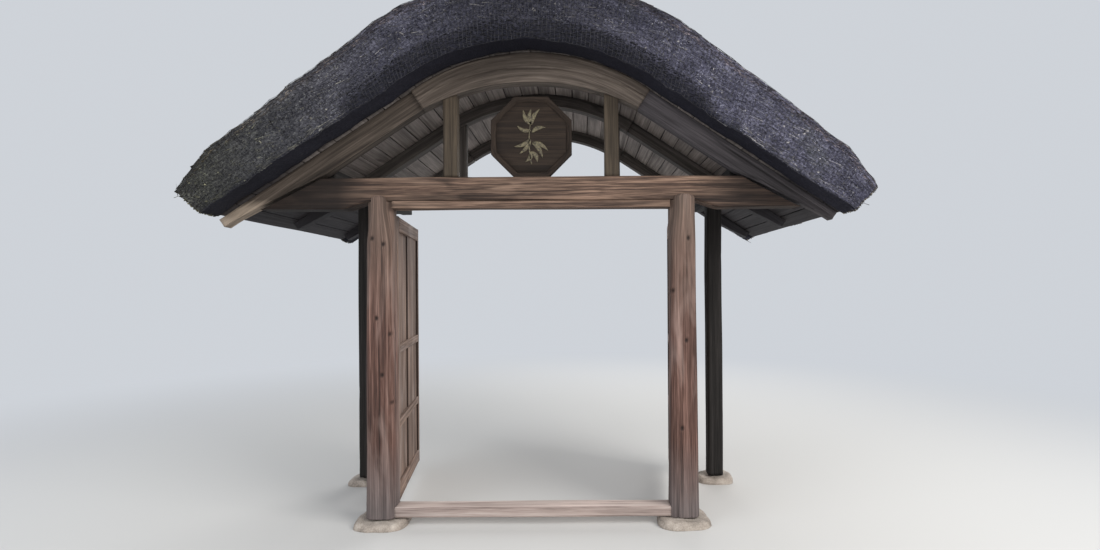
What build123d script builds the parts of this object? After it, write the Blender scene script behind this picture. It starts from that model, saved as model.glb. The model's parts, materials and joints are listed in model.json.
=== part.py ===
from build123d import *
import os
from math import cos, radians, sin, tan

# A Japanese garden gate with a curved thatched roof, in millimetres.
# +X runs along the cross beam, +Y runs through the gate to the garden, +Z is up.
# The origin lies on the ground under the middle of the roof.

# Driving dimensions of the frame
stone_height = 45
main_stone_width = 330
main_stone_depth = 300
rear_stone_width = 270
rear_stone_depth = 250
post_spacing = 1818
post_size = 155
post_corner = 28
post_centre_y = -775
cheek_thickness = 35
cheek_rise = 34
clear_height = 1850
lintel_height = 45
lintel_depth = 100
lintel_edge = 5
sill_height = 66
sill_depth = 110
sill_edge = 8
beam_depth = 120
beam_height = 145
beam_end_drop = 45
beam_edge = 16
rear_post_spacing = 2540
rear_post_size = 110
rear_post_corner = 16
rear_post_centre_y = -60
purlin_width = 90
purlin_height = 77
tie_height = 80

# Driving dimensions of the roof
crown_height = 2782
crown_radius = 1250
flank_angle = 33.3
roof_length = 2060
verge_overhang = 190
deck_thickness = 28
deck_reach = 1850
thatch_thickness = 270
nose_reach = 1955
nose_height = 1925
nose_start_reach = 1800
nose_bulge = 28

# The three arched ribs
front_rib_setback = 2.5
front_rib_thickness = 85
front_rib_depth = 130
front_rib_crown_depth = 177
front_joint_reach = 655
front_taper_start = 1300
front_tail_depth = 75
tail_reach = 1840
groove_depth = 4
groove_width = 7
groove_drop = 88
inner_rib_thickness = 80
inner_rib_depth = 85
purlin_tail = 30

# Struts and the eight-sided board between them
strut_offset = 485
strut_width = 88
strut_depth = 70
inner_strut_offset = 560
inner_strut_size = 56
plaque_size = 490
plaque_thickness = 26
plaque_rim_width = 34
plaque_rim_thickness = 44

# The two leaves, hung on hooks behind the main posts
pivot_x = 870
pivot_behind_post = 32
leaf_edge_gap = 16
meeting_gap = 8
open_angle = 98
leaf_bottom = 30
leaf_top_gap = 20
stile_width = 48
leaf_thickness = 36
rail_thickness = 22
top_rail_height = 90
middle_rail_height = 54
bottom_rail_height = 92
upper_middle_rail = 960
lower_middle_rail = 484
board_side_gap = 4
board_gap = 8
pin_radius = 6
pin_clearance = 0.1
seat_clearance = 0.3
hook_width = 10
hook_height = 12
eye_radius = 12
eye_height = 22
upper_hinge = 1640
lower_hinge = 230

# Heights above the ground, which is one stone below the post feet
foot = stone_height
leaf_top = clear_height - leaf_top_gap
beam_bottom = foot + clear_height + lintel_height
beam_top = beam_bottom + beam_height
crown_top = foot + crown_height
crown_centre = crown_top - crown_radius

# Places in plan
half_spacing = post_spacing / 2
rear_half_spacing = rear_post_spacing / 2
inner_face = half_spacing - post_size / 2
outer_face = half_spacing + post_size / 2
post_front = post_centre_y - post_size / 2
post_back = post_centre_y + post_size / 2
beam_front = post_front + cheek_thickness
beam_back = beam_front + beam_depth
roof_front = -roof_length / 2
roof_back = roof_length / 2
front_rib_front = beam_front + front_rib_setback
middle_rib_front = rear_post_centre_y - inner_rib_thickness / 2
rear_rib_front = roof_back - verge_overhang - inner_rib_thickness

# The flank is the straight run of roof that leaves the crown's arc at its tangent
slope = tan(radians(flank_angle))
along_x = cos(radians(flank_angle))
along_z = sin(radians(flank_angle))
tangent_x = crown_radius * along_z
tangent_z = crown_centre + crown_radius * along_x


def flank_height(x, offset=0):
    """Height at x of the line parallel to the deck's underside, offset outwards."""
    return tangent_z - slope * (x - tangent_x) + offset / along_x


# The inner ribs lie on the purlins, and the rear posts end under the purlins
purlin_inner = rear_half_spacing - purlin_width / 2
purlin_outer = rear_half_spacing + purlin_width / 2
rear_post_top = flank_height(purlin_outer, -inner_rib_depth) - purlin_height


def front_prism(outline, front, back):
    """Solid of an outline drawn in front view, between two planes across the gate."""
    return extrude(Plane.XZ.offset(-back) * outline, amount=back - front)


def outline_of(*points):
    """Closed straight-sided outline."""
    return make_face(Polyline(*points, close=True))


def ring(outer, inner, centre_height=crown_centre):
    """Ring about the centre of the crown's arc, in front view."""
    return Pos(0, centre_height) * (Circle(outer) - Circle(inner))


def crown_wedge():
    """The sector of the front view that belongs to the roof's crown."""
    far = 3 * crown_radius
    centre = (0, crown_centre)
    left = (-far * along_z, crown_centre + far * along_x)
    right = (far * along_z, crown_centre + far * along_x)
    return outline_of(centre, right, left)


def both_sides(outline):
    """The outline of the right side and its mirror image on the left."""
    return {"right": outline, "left": mirror(outline, about=Plane.YZ)}


def save(name, shape):
    """Writes one named piece."""
    export_step(shape, "parts/" + name + ".step")
    volume = sum(solid.volume for solid in shape.solids())
    print(name, round(volume / 1e6, 2), "litres")


# Posts, stones, sill and beams

def main_post(side):
    """Squared log with rounded corners; a cheek at its front laps over the beam."""
    height = beam_bottom + cheek_rise - foot
    column = extrude(RectangleRounded(post_size, post_size, post_corner), amount=height)
    column = Pos(side * half_spacing, post_centre_y, foot) * column
    notch_depth = post_back - beam_front
    notch = Box(2 * post_size, notch_depth, beam_height, align=(Align.CENTER, Align.MIN, Align.MIN))
    notch = Pos(side * half_spacing, beam_front, beam_bottom) * notch
    return column - notch


def rear_post(side):
    """Slim rear post that stands wider than the main one and carries the purlin."""
    column = RectangleRounded(rear_post_size, rear_post_size, rear_post_corner)
    column = extrude(column, amount=rear_post_top - foot)
    return Pos(side * rear_half_spacing, rear_post_centre_y, foot) * column


def base_stone(width, depth, x, y):
    """Flat natural stone with a worn upper edge."""
    plan = RectangleRounded(width, depth, 0.3 * depth)
    stone = extrude(plan, amount=stone_height)
    stone = chamfer(stone.edges().group_by(Axis.Z)[-1], 0.3 * stone_height)
    return Pos(x, y, 0) * stone


def bar_between_posts(depth, height, bottom, edge):
    """Bar that runs from one main post to the other, with eased long edges."""
    bar = Box(2 * inner_face, depth, height, align=(Align.CENTER, Align.CENTER, Align.MIN))
    bar = fillet(bar.edges().filter_by(Axis.X), edge)
    return Pos(0, post_centre_y, bottom) * bar


front_tail_x = tail_reach - front_tail_depth * along_z


def front_rib_low(x):
    """Height of the front rib's lower edge outside its crown piece."""
    full = flank_height(x, -front_rib_depth)
    if x <= front_taper_start:
        return full
    start = flank_height(front_taper_start, -front_rib_depth)
    end_z = flank_height(tail_reach) - front_tail_depth * along_x
    return start + (end_z - start) * (x - front_taper_start) / (front_tail_x - front_taper_start)


def front_beam():
    """Cross beam whose ends thicken downwards and are cut to the ribs that lie on them."""
    seat_x = tangent_x + (flank_height(tangent_x, -front_rib_depth) - beam_top) / slope
    end_low = beam_bottom - beam_end_drop
    taper_low = front_rib_low(front_taper_start)
    tail_fall = taper_low - front_rib_low(front_tail_x)
    tip_x = front_taper_start + (front_tail_x - front_taper_start) * (taper_low - end_low) / tail_fall
    drop_x = outer_face + 3 * beam_end_drop
    right = [
        (outer_face, beam_bottom),
        (drop_x, end_low),
        (tip_x, end_low),
        (front_taper_start, taper_low),
        (seat_x, beam_top),
    ]
    left = [(-x, z) for x, z in reversed(right)]
    beam = front_prism(outline_of(*right, *left), beam_front, beam_back)
    long_edges = beam.edges().filter_by(Axis.X)
    long_edges = long_edges.filter_by(lambda edge: edge.length > inner_face)
    return fillet(long_edges, beam_edge)


# Roof frame

def front_low_arc():
    """Radius and centre height of the flatter arc under the front rib's crown piece."""
    low = crown_top - front_rib_crown_depth
    fall = low - flank_height(front_joint_reach, -front_rib_depth)
    radius = (front_joint_reach**2 + fall**2) / (2 * fall)
    return radius, low - radius


def front_rib_pieces():
    """Deep crown piece with a groove along it, and a tapering side piece at each end."""
    joint_z = flank_height(front_joint_reach, -front_rib_depth)
    low_radius, low_centre = front_low_arc()
    body = Pos(0, crown_centre) * Circle(crown_radius)
    body -= Pos(0, low_centre) * Circle(low_radius)
    top_z = 2 * crown_top
    cut_shift = (top_z - joint_z) * (tangent_x - front_joint_reach) / (tangent_z - joint_z)
    cut_top = front_joint_reach + cut_shift
    between = outline_of(
        (-front_joint_reach, joint_z),
        (front_joint_reach, joint_z),
        (cut_top, top_z),
        (-cut_top, top_z),
    )
    back = front_rib_front + front_rib_thickness
    crown = front_prism(body & between, front_rib_front, back)
    groove_radius = low_radius + front_rib_crown_depth - groove_drop
    groove = ring(groove_radius, groove_radius - groove_width, low_centre)
    crown -= front_prism(groove & between, front_rib_front, front_rib_front + groove_depth)
    side = outline_of(
        (tangent_x, tangent_z),
        (tail_reach, flank_height(tail_reach)),
        (front_tail_x, front_rib_low(front_tail_x)),
        (front_taper_start, front_rib_low(front_taper_start)),
        (front_joint_reach, joint_z),
    )
    pieces = {"front_rib_crown": crown}
    for name, outline in both_sides(side).items():
        pieces["front_rib_" + name] = front_prism(outline, front_rib_front, back)
    return pieces


def inner_rib_pieces(name, front):
    """Slimmer rib of one bent crown piece and two straight sides, all of one depth."""
    back = front + inner_rib_thickness
    arc = ring(crown_radius, crown_radius - inner_rib_depth) & crown_wedge()
    pieces = {name + "_rib_crown": front_prism(arc, front, back)}
    low_x = tangent_x - inner_rib_depth * along_z
    low_z = tangent_z - inner_rib_depth * along_x
    side = outline_of(
        (tangent_x, tangent_z),
        (tail_reach, flank_height(tail_reach)),
        (tail_reach - inner_rib_depth * along_z, flank_height(tail_reach) - inner_rib_depth * along_x),
        (low_x, low_z),
    )
    for hand, outline in both_sides(side).items():
        pieces[name + "_rib_" + hand] = front_prism(outline, front, back)
    return pieces


def purlin(side):
    """Side purlin on the rear post; its top is bevelled to the slope of the ribs on it."""
    section = outline_of(
        (side * purlin_inner, rear_post_top),
        (side * purlin_outer, rear_post_top),
        (side * purlin_outer, flank_height(purlin_outer, -inner_rib_depth)),
        (side * purlin_inner, flank_height(purlin_inner, -inner_rib_depth)),
    )
    back = rear_rib_front + inner_rib_thickness + purlin_tail
    return front_prism(section, beam_back, back)


def rear_tie():
    """Tie between the purlins, over the rear posts."""
    tie = Box(2 * purlin_inner, inner_rib_thickness, tie_height, align=(Align.CENTER, Align.MIN, Align.MIN))
    return Pos(0, middle_rib_front, rear_post_top) * tie


def strut(offset, width, depth, bottom, middle_y, ceiling):
    """Short post whose top is cut to the curve of the rib that it carries."""
    outline = outline_of(
        (offset - width / 2, bottom),
        (offset + width / 2, bottom),
        (offset + width / 2, crown_top),
        (offset - width / 2, crown_top),
    )
    return front_prism(outline & ceiling, middle_y - depth / 2, middle_y + depth / 2)


# Deck and thatch

def deck_pieces():
    """Curved ceiling of boards that run from front to back, in three panels."""
    front = roof_front + verge_overhang
    back = roof_back - verge_overhang
    arc = ring(crown_radius + deck_thickness, crown_radius) & crown_wedge()
    rise_x = deck_thickness * along_z
    rise_z = deck_thickness * along_x
    side = outline_of(
        (tangent_x, tangent_z),
        (deck_reach, flank_height(deck_reach)),
        (deck_reach + rise_x, flank_height(deck_reach) + rise_z),
        (tangent_x + rise_x, tangent_z + rise_z),
    )
    pieces = {"deck_crown": front_prism(arc, front, back)}
    for hand, outline in both_sides(side).items():
        pieces["deck_" + hand] = front_prism(outline, front, back)
    return pieces


def thatch_pieces():
    """Thick thatch over the deck, with a rounded nose along each eave."""
    low = crown_radius + deck_thickness
    high = low + thatch_thickness
    arc = ring(high, low) & crown_wedge()
    under_start = (low * along_z, crown_centre + low * along_x)
    under_end_x = deck_reach + deck_thickness * along_z
    under_end = (under_end_x, flank_height(under_end_x, deck_thickness))
    nose = Vector(nose_reach, foot + nose_height)
    full_offset = deck_thickness + thatch_thickness
    round_start = Vector(nose_start_reach, flank_height(nose_start_reach, full_offset))
    chord = nose - round_start
    bulge = Vector(-chord.Y, chord.X).normalized() * nose_bulge
    round_middle = (nose + round_start) / 2 + bulge
    over_start = (high * along_z, crown_centre + high * along_x)
    edges = [
        Line(under_start, under_end),
        Line(under_end, nose),
        ThreePointArc(nose, round_middle, round_start),
        Line(round_start, over_start),
        Line(over_start, under_start),
    ]
    side = make_face(edges)
    pieces = {"thatch_crown": front_prism(arc, roof_front, roof_back)}
    for hand, outline in both_sides(side).items():
        pieces["thatch_" + hand] = front_prism(outline, roof_front, roof_back)
    return pieces


# Plaque

def plaque_pieces():
    """Eight-sided board with a raised rim, standing on the beam between the struts."""
    corner_radius = plaque_size / 2 / cos(radians(22.5))
    inner_radius = corner_radius - plaque_rim_width / cos(radians(22.5))
    middle = Pos(0, beam_top + plaque_size / 2)
    outside = middle * RegularPolygon(corner_radius, 8, rotation=22.5)
    inside = middle * RegularPolygon(inner_radius, 8, rotation=22.5)
    middle_y = (beam_front + beam_back) / 2
    rim_front = middle_y - plaque_rim_thickness / 2
    rim = front_prism(outside - inside, rim_front, rim_front + plaque_rim_thickness)
    board_front = middle_y - plaque_thickness / 2
    board = front_prism(inside, board_front, board_front + plaque_thickness)
    return {"plaque_board": board, "plaque_rim": rim}


# Leaves, drawn closed with the pivot at the origin and the leaf along +X

def leaf_box(start, end, front, back, low, high):
    """Plain bar of the leaf, from its six limits."""
    bar = Box(end - start, back - front, high - low, align=(Align.MIN, Align.MIN, Align.MIN))
    return Pos(start, front, low) * bar


def leaf_pieces():
    """Two stiles, four rails, two wide boards behind the rails, and two hinge eyes."""
    start = leaf_edge_gap
    end = pivot_x - meeting_gap / 2
    front = -leaf_thickness / 2
    back = leaf_thickness / 2
    low = foot + leaf_bottom
    high = foot + leaf_top
    inner_start = start + stile_width
    inner_end = end - stile_width
    stiles = [
        leaf_box(start, inner_start, front, back, low, high),
        leaf_box(inner_end, end, front, back, low, high),
    ]
    rail_heights = [
        (low, low + bottom_rail_height),
        (foot + lower_middle_rail, foot + lower_middle_rail + middle_rail_height),
        (foot + upper_middle_rail, foot + upper_middle_rail + middle_rail_height),
        (high - top_rail_height, high),
    ]
    rail_back = front + rail_thickness
    rails = [leaf_box(inner_start, inner_end, front, rail_back, z0, z1) for z0, z1 in rail_heights]
    middle = (inner_start + inner_end) / 2
    boards = [
        leaf_box(inner_start + board_side_gap, middle - board_gap / 2, rail_back, back, low, high),
        leaf_box(middle + board_gap / 2, inner_end - board_side_gap, rail_back, back, low, high),
    ]
    eyes = [hinge_eye(height) for height in (lower_hinge, upper_hinge)]
    return {"stiles": stiles, "rails": rails, "boards": boards, "hinge_eyes": eyes}


def hinge_eye(height):
    """Iron eye on a spike driven into the stile's edge; it turns on the hook's pin."""
    bottom = foot + height + hook_height / 2 + seat_clearance
    eye = Cylinder(eye_radius, eye_height, align=(Align.CENTER, Align.CENTER, Align.MIN))
    neck = Box(leaf_edge_gap, hook_width, eye_height, align=(Align.MIN, Align.CENTER, Align.MIN))
    bore = Cylinder(pin_radius + pin_clearance, 3 * eye_height)
    return Pos(0, 0, bottom) * (eye + neck - bore)


def hinge_hook(height):
    """Iron hook driven into the post's back, with the upright pin at the leaf's pivot."""
    arm = Box(hook_width, pivot_behind_post, hook_height, align=(Align.CENTER, Align.MAX, Align.CENTER))
    knuckle = Cylinder(eye_radius, hook_height)
    pin_length = hook_height / 2 + eye_height + 3 * pin_radius
    pin = Cylinder(pin_radius, pin_length, align=(Align.CENTER, Align.CENTER, Align.MIN))
    return Pos(0, 0, foot + height) * (arm + knuckle + pin)


def hang_left(shape, angle):
    """Places a piece drawn about the pivot at the left post, turned open by the angle."""
    pivot = Pos(-pivot_x, post_back + pivot_behind_post, 0)
    return pivot * Rot(0, 0, angle) * shape


def mirrored(shape):
    """The same piece on the right side of the gate."""
    return mirror(shape, about=Plane.YZ)


os.makedirs("parts", exist_ok=True)

for hand, side in (("left", -1), ("right", 1)):
    save("main_post_" + hand, main_post(side))
    save("rear_post_" + hand, rear_post(side))
    save("purlin_" + hand, purlin(side))
    main_stone = base_stone(main_stone_width, main_stone_depth, side * half_spacing, post_centre_y)
    rear_stone = base_stone(rear_stone_width, rear_stone_depth, side * rear_half_spacing, rear_post_centre_y)
    save("main_stone_" + hand, main_stone)
    save("rear_stone_" + hand, rear_stone)

save("sill", bar_between_posts(sill_depth, sill_height, foot, sill_edge))
save("lintel", bar_between_posts(lintel_depth, lintel_height, foot + clear_height, lintel_edge))
save("front_beam", front_beam())
save("rear_tie", rear_tie())

front_low_radius, front_low_centre = front_low_arc()
front_ceiling = Pos(0, front_low_centre) * Circle(front_low_radius)
inner_ceiling = Pos(0, crown_centre) * Circle(crown_radius - inner_rib_depth)
front_rib_middle = front_rib_front + front_rib_thickness / 2
middle_rib_middle = middle_rib_front + inner_rib_thickness / 2
for hand, side in (("left", -1), ("right", 1)):
    front_strut = strut(
        side * strut_offset, strut_width, strut_depth, beam_top, front_rib_middle, front_ceiling
    )
    inner_strut = strut(
        side * inner_strut_offset,
        inner_strut_size,
        inner_strut_size,
        rear_post_top + tie_height,
        middle_rib_middle,
        inner_ceiling,
    )
    save("strut_" + hand, front_strut)
    save("rear_strut_" + hand, inner_strut)

roof_pieces = {}
roof_pieces.update(front_rib_pieces())
roof_pieces.update(inner_rib_pieces("middle", middle_rib_front))
roof_pieces.update(inner_rib_pieces("rear", rear_rib_front))
roof_pieces.update(deck_pieces())
roof_pieces.update(thatch_pieces())
roof_pieces.update(plaque_pieces())
for name, shape in roof_pieces.items():
    save(name, shape)

hooks = []
for height in (lower_hinge, upper_hinge):
    hook = hang_left(hinge_hook(height), 0)
    hooks += [hook, mirrored(hook)]
save("hinge_hooks", Compound(children=hooks))

for name, solids in leaf_pieces().items():
    left_solids = [hang_left(solid, open_angle) for solid in solids]
    right_solids = [mirrored(solid) for solid in left_solids]
    save("leaf_left_" + name, Compound(children=left_solids))
    save("leaf_right_" + name, Compound(children=right_solids))
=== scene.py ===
# %% [markdown]
# A garden gate under a curved thatched roof.
# The real gate is a small timber frame: two squared logs carry a cross beam, the beam
# carries arched ribs, the ribs carry a ceiling of boards, and on the boards lies a thick
# coat of thatch. The construction model already holds every piece at its true size, so this
# lesson only dresses it: each step rebuilds one kind of piece with the surface of the real
# one, in the same place, and gives it a material made from nodes.

# %% Load the frame
import json
from math import cos, pi, radians, sin, tan

import bmesh
import bpy
import numpy as np
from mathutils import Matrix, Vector


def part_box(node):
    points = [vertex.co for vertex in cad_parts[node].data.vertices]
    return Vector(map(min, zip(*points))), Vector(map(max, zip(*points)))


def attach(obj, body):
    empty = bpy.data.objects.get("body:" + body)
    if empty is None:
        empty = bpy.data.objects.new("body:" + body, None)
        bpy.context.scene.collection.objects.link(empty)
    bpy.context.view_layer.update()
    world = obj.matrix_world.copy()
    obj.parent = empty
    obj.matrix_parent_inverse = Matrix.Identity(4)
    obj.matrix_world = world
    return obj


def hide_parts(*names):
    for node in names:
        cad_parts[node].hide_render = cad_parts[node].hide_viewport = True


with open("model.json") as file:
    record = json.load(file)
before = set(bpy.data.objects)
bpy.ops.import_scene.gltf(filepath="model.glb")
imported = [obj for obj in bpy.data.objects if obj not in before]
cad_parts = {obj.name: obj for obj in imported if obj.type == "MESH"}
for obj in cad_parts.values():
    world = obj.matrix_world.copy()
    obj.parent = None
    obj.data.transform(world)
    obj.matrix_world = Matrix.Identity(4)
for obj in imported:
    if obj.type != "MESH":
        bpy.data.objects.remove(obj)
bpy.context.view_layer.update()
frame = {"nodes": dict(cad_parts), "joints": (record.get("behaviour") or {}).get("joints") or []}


def box_of(node):
    """Lowest corner, highest corner and size of a node as arrays."""
    low, high = (np.array(corner, dtype=float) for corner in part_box(node))
    return low, high, high - low


# %% [markdown]
# The whole roof follows one curve in front view: an arc over the crown and a straight flank
# on each side. It could be drawn anew for each piece, but naming it once lets the ribs, the
# ceiling boards, the thatch, its stalks and its net share it. A point on it is given by its
# run along the ceiling from the crown, negative to the left, and its distance outwards.

# %% The roof's curve
CROWN_RADIUS = 1.25
FLANK = radians(33.3)
CROWN_RUN = CROWN_RADIUS * FLANK
crown_top = box_of("middle_rib_crown")[1][2]
crown_centre = crown_top - CROWN_RADIUS


def roof_curve(run, outwards):
    """x and z of points of the roof's curve."""
    length = np.abs(run)
    angle = np.minimum(length / CROWN_RADIUS, FLANK)
    beyond = np.maximum(length - CROWN_RUN, 0.0)
    radius = CROWN_RADIUS + outwards
    x = np.sign(run) * (radius * np.sin(angle) + beyond * cos(FLANK))
    return x, crown_centre + radius * np.cos(angle) - beyond * sin(FLANK)


def run_at(x, outwards=0.0):
    """Run of the point of the straight flank at x and at a distance outwards."""
    return CROWN_RUN + (x - (CROWN_RADIUS + outwards) * sin(FLANK)) / cos(FLANK)


def flank_height(x, depth):
    """Height at x of the line that lies depth inside the ceiling's straight flank."""
    tangent_z = crown_centre + CROWN_RADIUS * cos(FLANK)
    return tangent_z - (x - CROWN_RADIUS * sin(FLANK)) * tan(FLANK) - depth / cos(FLANK)


print("crown at", round(crown_top, 3), "m")

# %% [markdown]
# Old wood, straw and stone are uneven at every scale. Sculpting could show it, but a hashed
# lattice with smooth blending gives the same unevenness on every run, and lattice cells of
# different lengths stretch it along the grain, which makes a pattern look like wood.

# %% Steps and smooth noise
def climb(value, start, rise):
    """0 before start, then straight to 1 over the rise, which may run backwards."""
    return np.clip((value - start) / rise, 0.0, 1.0)


def smooth(share):
    """Rounds off both ends of a step from 0 to 1."""
    return share * share * (3.0 - 2.0 * share)


def lattice_value(x, y, z, seed):
    """Repeatable pseudo-random value between -1 and 1 for whole-number cells."""
    mixed = (x * 73856093) ^ (y * 19349663) ^ (z * 83492791) ^ (seed * 2654435761)
    mixed = (mixed ^ (mixed >> 13)) * 1274126177
    return ((mixed ^ (mixed >> 16)) & 0xFFFF) / 32767.5 - 1.0


def noise(points, cell, seed):
    """Smooth noise at points, with cells of one size or of one size for each axis."""
    scaled = np.asarray(points, dtype=float) / cell
    low = np.floor(scaled).astype(np.int64)
    part = smooth(scaled - low)
    total = np.zeros(scaled.shape[:-1])
    for corner in range(8):
        step = np.array([corner & 1, (corner >> 1) & 1, (corner >> 2) & 1])
        weight = np.prod(np.where(step == 1, part, 1.0 - part), axis=-1)
        total += weight * lattice_value(*np.moveaxis(low + step, -1, 0), seed)
    return total


print("noise at one point", round(float(noise([(0.1, 0.2, 0.3)], 0.5, 1)[0]), 3))

# %% [markdown]
# A timber is a row of closed rings with a cap at each end. A bevelled cube would do for new
# wood, but a mesh built ring by ring is even, so that displacement can cut ridges and cracks
# into it, and each vertex keeps its place along and across the grain in an attribute.

# %% Reading and storing values of a mesh
def read(piece, name):
    """Position, normal, grain or mark of each vertex of a piece, as an array."""
    layer = piece.data.vertex_normals if name == "normal" else piece.data.attributes[name].data
    size, key = (1, "value") if name == "mark" else (3, "vector")
    values = np.empty(len(layer) * size, dtype=np.float32)
    layer.foreach_get(key, values)
    return values.astype(float).reshape((-1, 3) if size == 3 else -1)


def store(piece, name, values, domain="POINT"):
    """Stores a number or a vector for each vertex or face, in a new or an old attribute."""
    values = np.ascontiguousarray(values, dtype=np.float32)
    kind, key = ("FLOAT_VECTOR", "vector") if values.ndim == 2 else ("FLOAT", "value")
    layers = piece.data.attributes
    layer = layers.get(name) or layers.new(name, kind, domain)
    layer.data.foreach_set(key, values.ravel())
    piece.data.update()


def paint_shade(piece, amount):
    """Paints shade: darkens a piece's marks to at least an amount, at most 1."""
    store(piece, "mark", np.minimum(np.maximum(read(piece, "mark"), amount), 1.0))


# %% Mesh objects
def link(name, data):
    """New object with this data in the scene."""
    thing = bpy.data.objects.new(name, data)
    bpy.context.scene.collection.objects.link(thing)
    return thing


def face_outwards(mesh, merge=0.0):
    """Merges doubles where a distance is given, and turns all faces outwards."""
    work = bmesh.new()
    work.from_mesh(mesh)
    if merge > 0:
        bmesh.ops.remove_doubles(work, verts=work.verts, dist=merge)
    bmesh.ops.recalc_face_normals(work, faces=work.faces)
    work.to_mesh(mesh)
    work.free()


def mesh_object(name, vertices, face_blocks, grain=None):
    """Smooth mesh object with outward faces and its grain coordinates."""
    mesh = bpy.data.meshes.new(name)
    faces = [face for block in face_blocks for face in np.asarray(block).tolist()]
    mesh.from_pydata(vertices.tolist(), [], faces)
    face_outwards(mesh)
    mesh.shade_smooth()
    piece = link(name, mesh)
    if grain is not None:
        store(piece, "grain", grain)
    return piece


def band(low, high):
    """Quads between two rings of vertex numbers."""
    return np.stack([low, np.roll(low, -1), np.roll(high, -1), high], axis=-1)


# %% Meshes through rings
CAP_STEPS = (0.82, 0.6, 0.36, 0.14)


def ring_mesh(name, rings, grain):
    """Closed mesh through rings of points, with a cap of shrinking rings at each end."""
    both = np.concatenate([np.array(rings), np.array(grain)], axis=2)
    count, around, _ = both.shape
    index = np.arange(count * around).reshape(count, around)
    blocks, fans, total = [both.reshape(-1, 6)], [], count * around
    faces = [band(low, high) for low, high in zip(index[:-1], index[1:])]
    for end in (0, count - 1):
        centre, last = both[end].mean(axis=0), index[end]
        for share in CAP_STEPS:
            blocks.append(centre + (both[end] - centre) * share)
            inner = np.arange(around) + total
            faces.append(band(last, inner))
            last, total = inner, total + around
        blocks.append(centre[None])
        fans.append(np.stack([last, np.roll(last, -1), np.full(around, total)], axis=-1))
        total += 1
    points = np.concatenate(blocks)
    return mesh_object(name, points[:, :3], faces + fans, points[:, 3:])


def swept(name, axis, stations, section_at, shift):
    """Mesh through flat sections across an axis; the grain runs along it, with a shift."""
    sections = [(station, section_at(station)) for station in stations]
    rings = [np.insert(section, axis, station, axis=1) for station, section in sections]
    grain = [np.insert(section, 0, station, axis=1) + shift for station, section in sections]
    return ring_mesh(name, rings, grain)


print("a cap has", len(CAP_STEPS), "rings and a point")

# %% Sections
CORNER_STEPS = 4


def rounded_section(width, height, radius, spacing):
    """Points round a rectangle with rounded corners, centred on the origin."""
    arcs, points = [], []
    for sx, sy, start in ((1, -1, -90), (1, 1, 0), (-1, 1, 90), (-1, -1, 180)):
        turn = np.radians(start + 90 * np.arange(CORNER_STEPS + 1) / CORNER_STEPS)
        centre = (sx * (width / 2 - radius), sy * (height / 2 - radius))
        arcs.append(np.column_stack([np.cos(turn), np.sin(turn)]) * radius + centre)
    for arc, after, full in zip(arcs, arcs[1:] + arcs[:1], (height, width) * 2):
        side = full - 2 * radius
        count = int(side / spacing) if side > 2 * spacing else 1
        share = np.arange(1, count)[:, None] / count
        points += [arc, arc[-1] + (after[0] - arc[-1]) * share]
    return np.concatenate(points)


def outline(corners, per_side, softened=0):
    """Points along a polygon's sides, as many on each, evened out a few times."""
    corners = np.array(corners, dtype=float)
    share = np.linspace(0.0, 1.0, per_side, endpoint=False)[:, None]
    sides = zip(corners, np.roll(corners, -1, axis=0))
    points = np.concatenate([here + (after - here) * share for here, after in sides])
    for _ in range(softened):
        points = (np.roll(points, 1, axis=0) + 2 * points + np.roll(points, -1, axis=0)) / 4
    return points


print("a section has", len(rounded_section(0.1, 0.1, 0.01, 0.01)), "points")

# %% [markdown]
# Weather opens softwood along its grain: the soft early wood wears away and leaves ridges,
# drying opens long cracks, and the knots stay hard and dark. A bump map alone would leave
# the outline straight, so all of it is displacement that follows the grain, and the depth of
# the cracks and knots is kept as a mark, so that the material can darken exactly there.

# %% Weathering
WAVE_CELL, RIDGE_CELL = (0.55, 0.11, 0.11), (0.30, 0.0075, 0.0075)
CRACK_CELL, CRACKED_CELL, SPLIT_CELL = (0.9, 0.030, 0.030), (0.5, 0.2, 0.2), (0.6, 0.022, 0.022)
CRACK_WIDTH, SPLIT_WIDTH, SPLIT_HEIGHT = 0.055, 0.09, 0.24
CRACK_MARK, SPLIT_MARK, CORE_MARK, COLLAR_MARK = 0.85, 0.7, 1.4, -0.25
COLLAR_HEIGHT, CORE_DEPTH = 0.0025, 0.005
# A knot is taller than wide and shows on the front face only
KNOT_SHAPE = (1.0, 0.25, 1 / 1.4)


def bell(value):
    """1 at 0, falling smoothly to 0 on both sides."""
    return np.exp(-(value**2))


def weather(piece, wave, ridge, crack, seed, knots=(), splits=0.0):
    """Wears a timber: waves, grain ridges, cracks, knots and a split foot, in metres of depth."""
    grain, place = read(piece, "grain"), read(piece, "position")
    depth = wave * (noise(grain, WAVE_CELL, seed) - 0.4)
    depth += ridge * noise(grain, RIDGE_CELL, seed + 1)
    cracked = np.clip(noise(grain, CRACKED_CELL, seed + 3) * 2.2 - 0.5, 0.0, 1.0)
    opening = bell(noise(grain, CRACK_CELL, seed + 2) / CRACK_WIDTH) * cracked
    depth -= crack * opening
    mark = CRACK_MARK * opening
    if splits > 0:
        foot = bell(place[:, 2] / SPLIT_HEIGHT)
        opening = bell(noise(grain, SPLIT_CELL, seed + 4) / SPLIT_WIDTH) * foot
        depth -= splits * opening
        mark = np.maximum(mark, SPLIT_MARK * opening)
    for *spot, size in knots:
        distance = np.linalg.norm((place - spot) * KNOT_SHAPE, axis=1)
        core, collar = bell(distance / size), bell((distance - 2.0 * size) / (0.7 * size))
        depth += COLLAR_HEIGHT * collar - CORE_DEPTH * core
        mark = np.maximum(mark, np.clip(CORE_MARK * core, 0, 1)) + COLLAR_MARK * collar
    store(piece, "position", place + read(piece, "normal") * depth[:, None])
    store(piece, "mark", mark)


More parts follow.
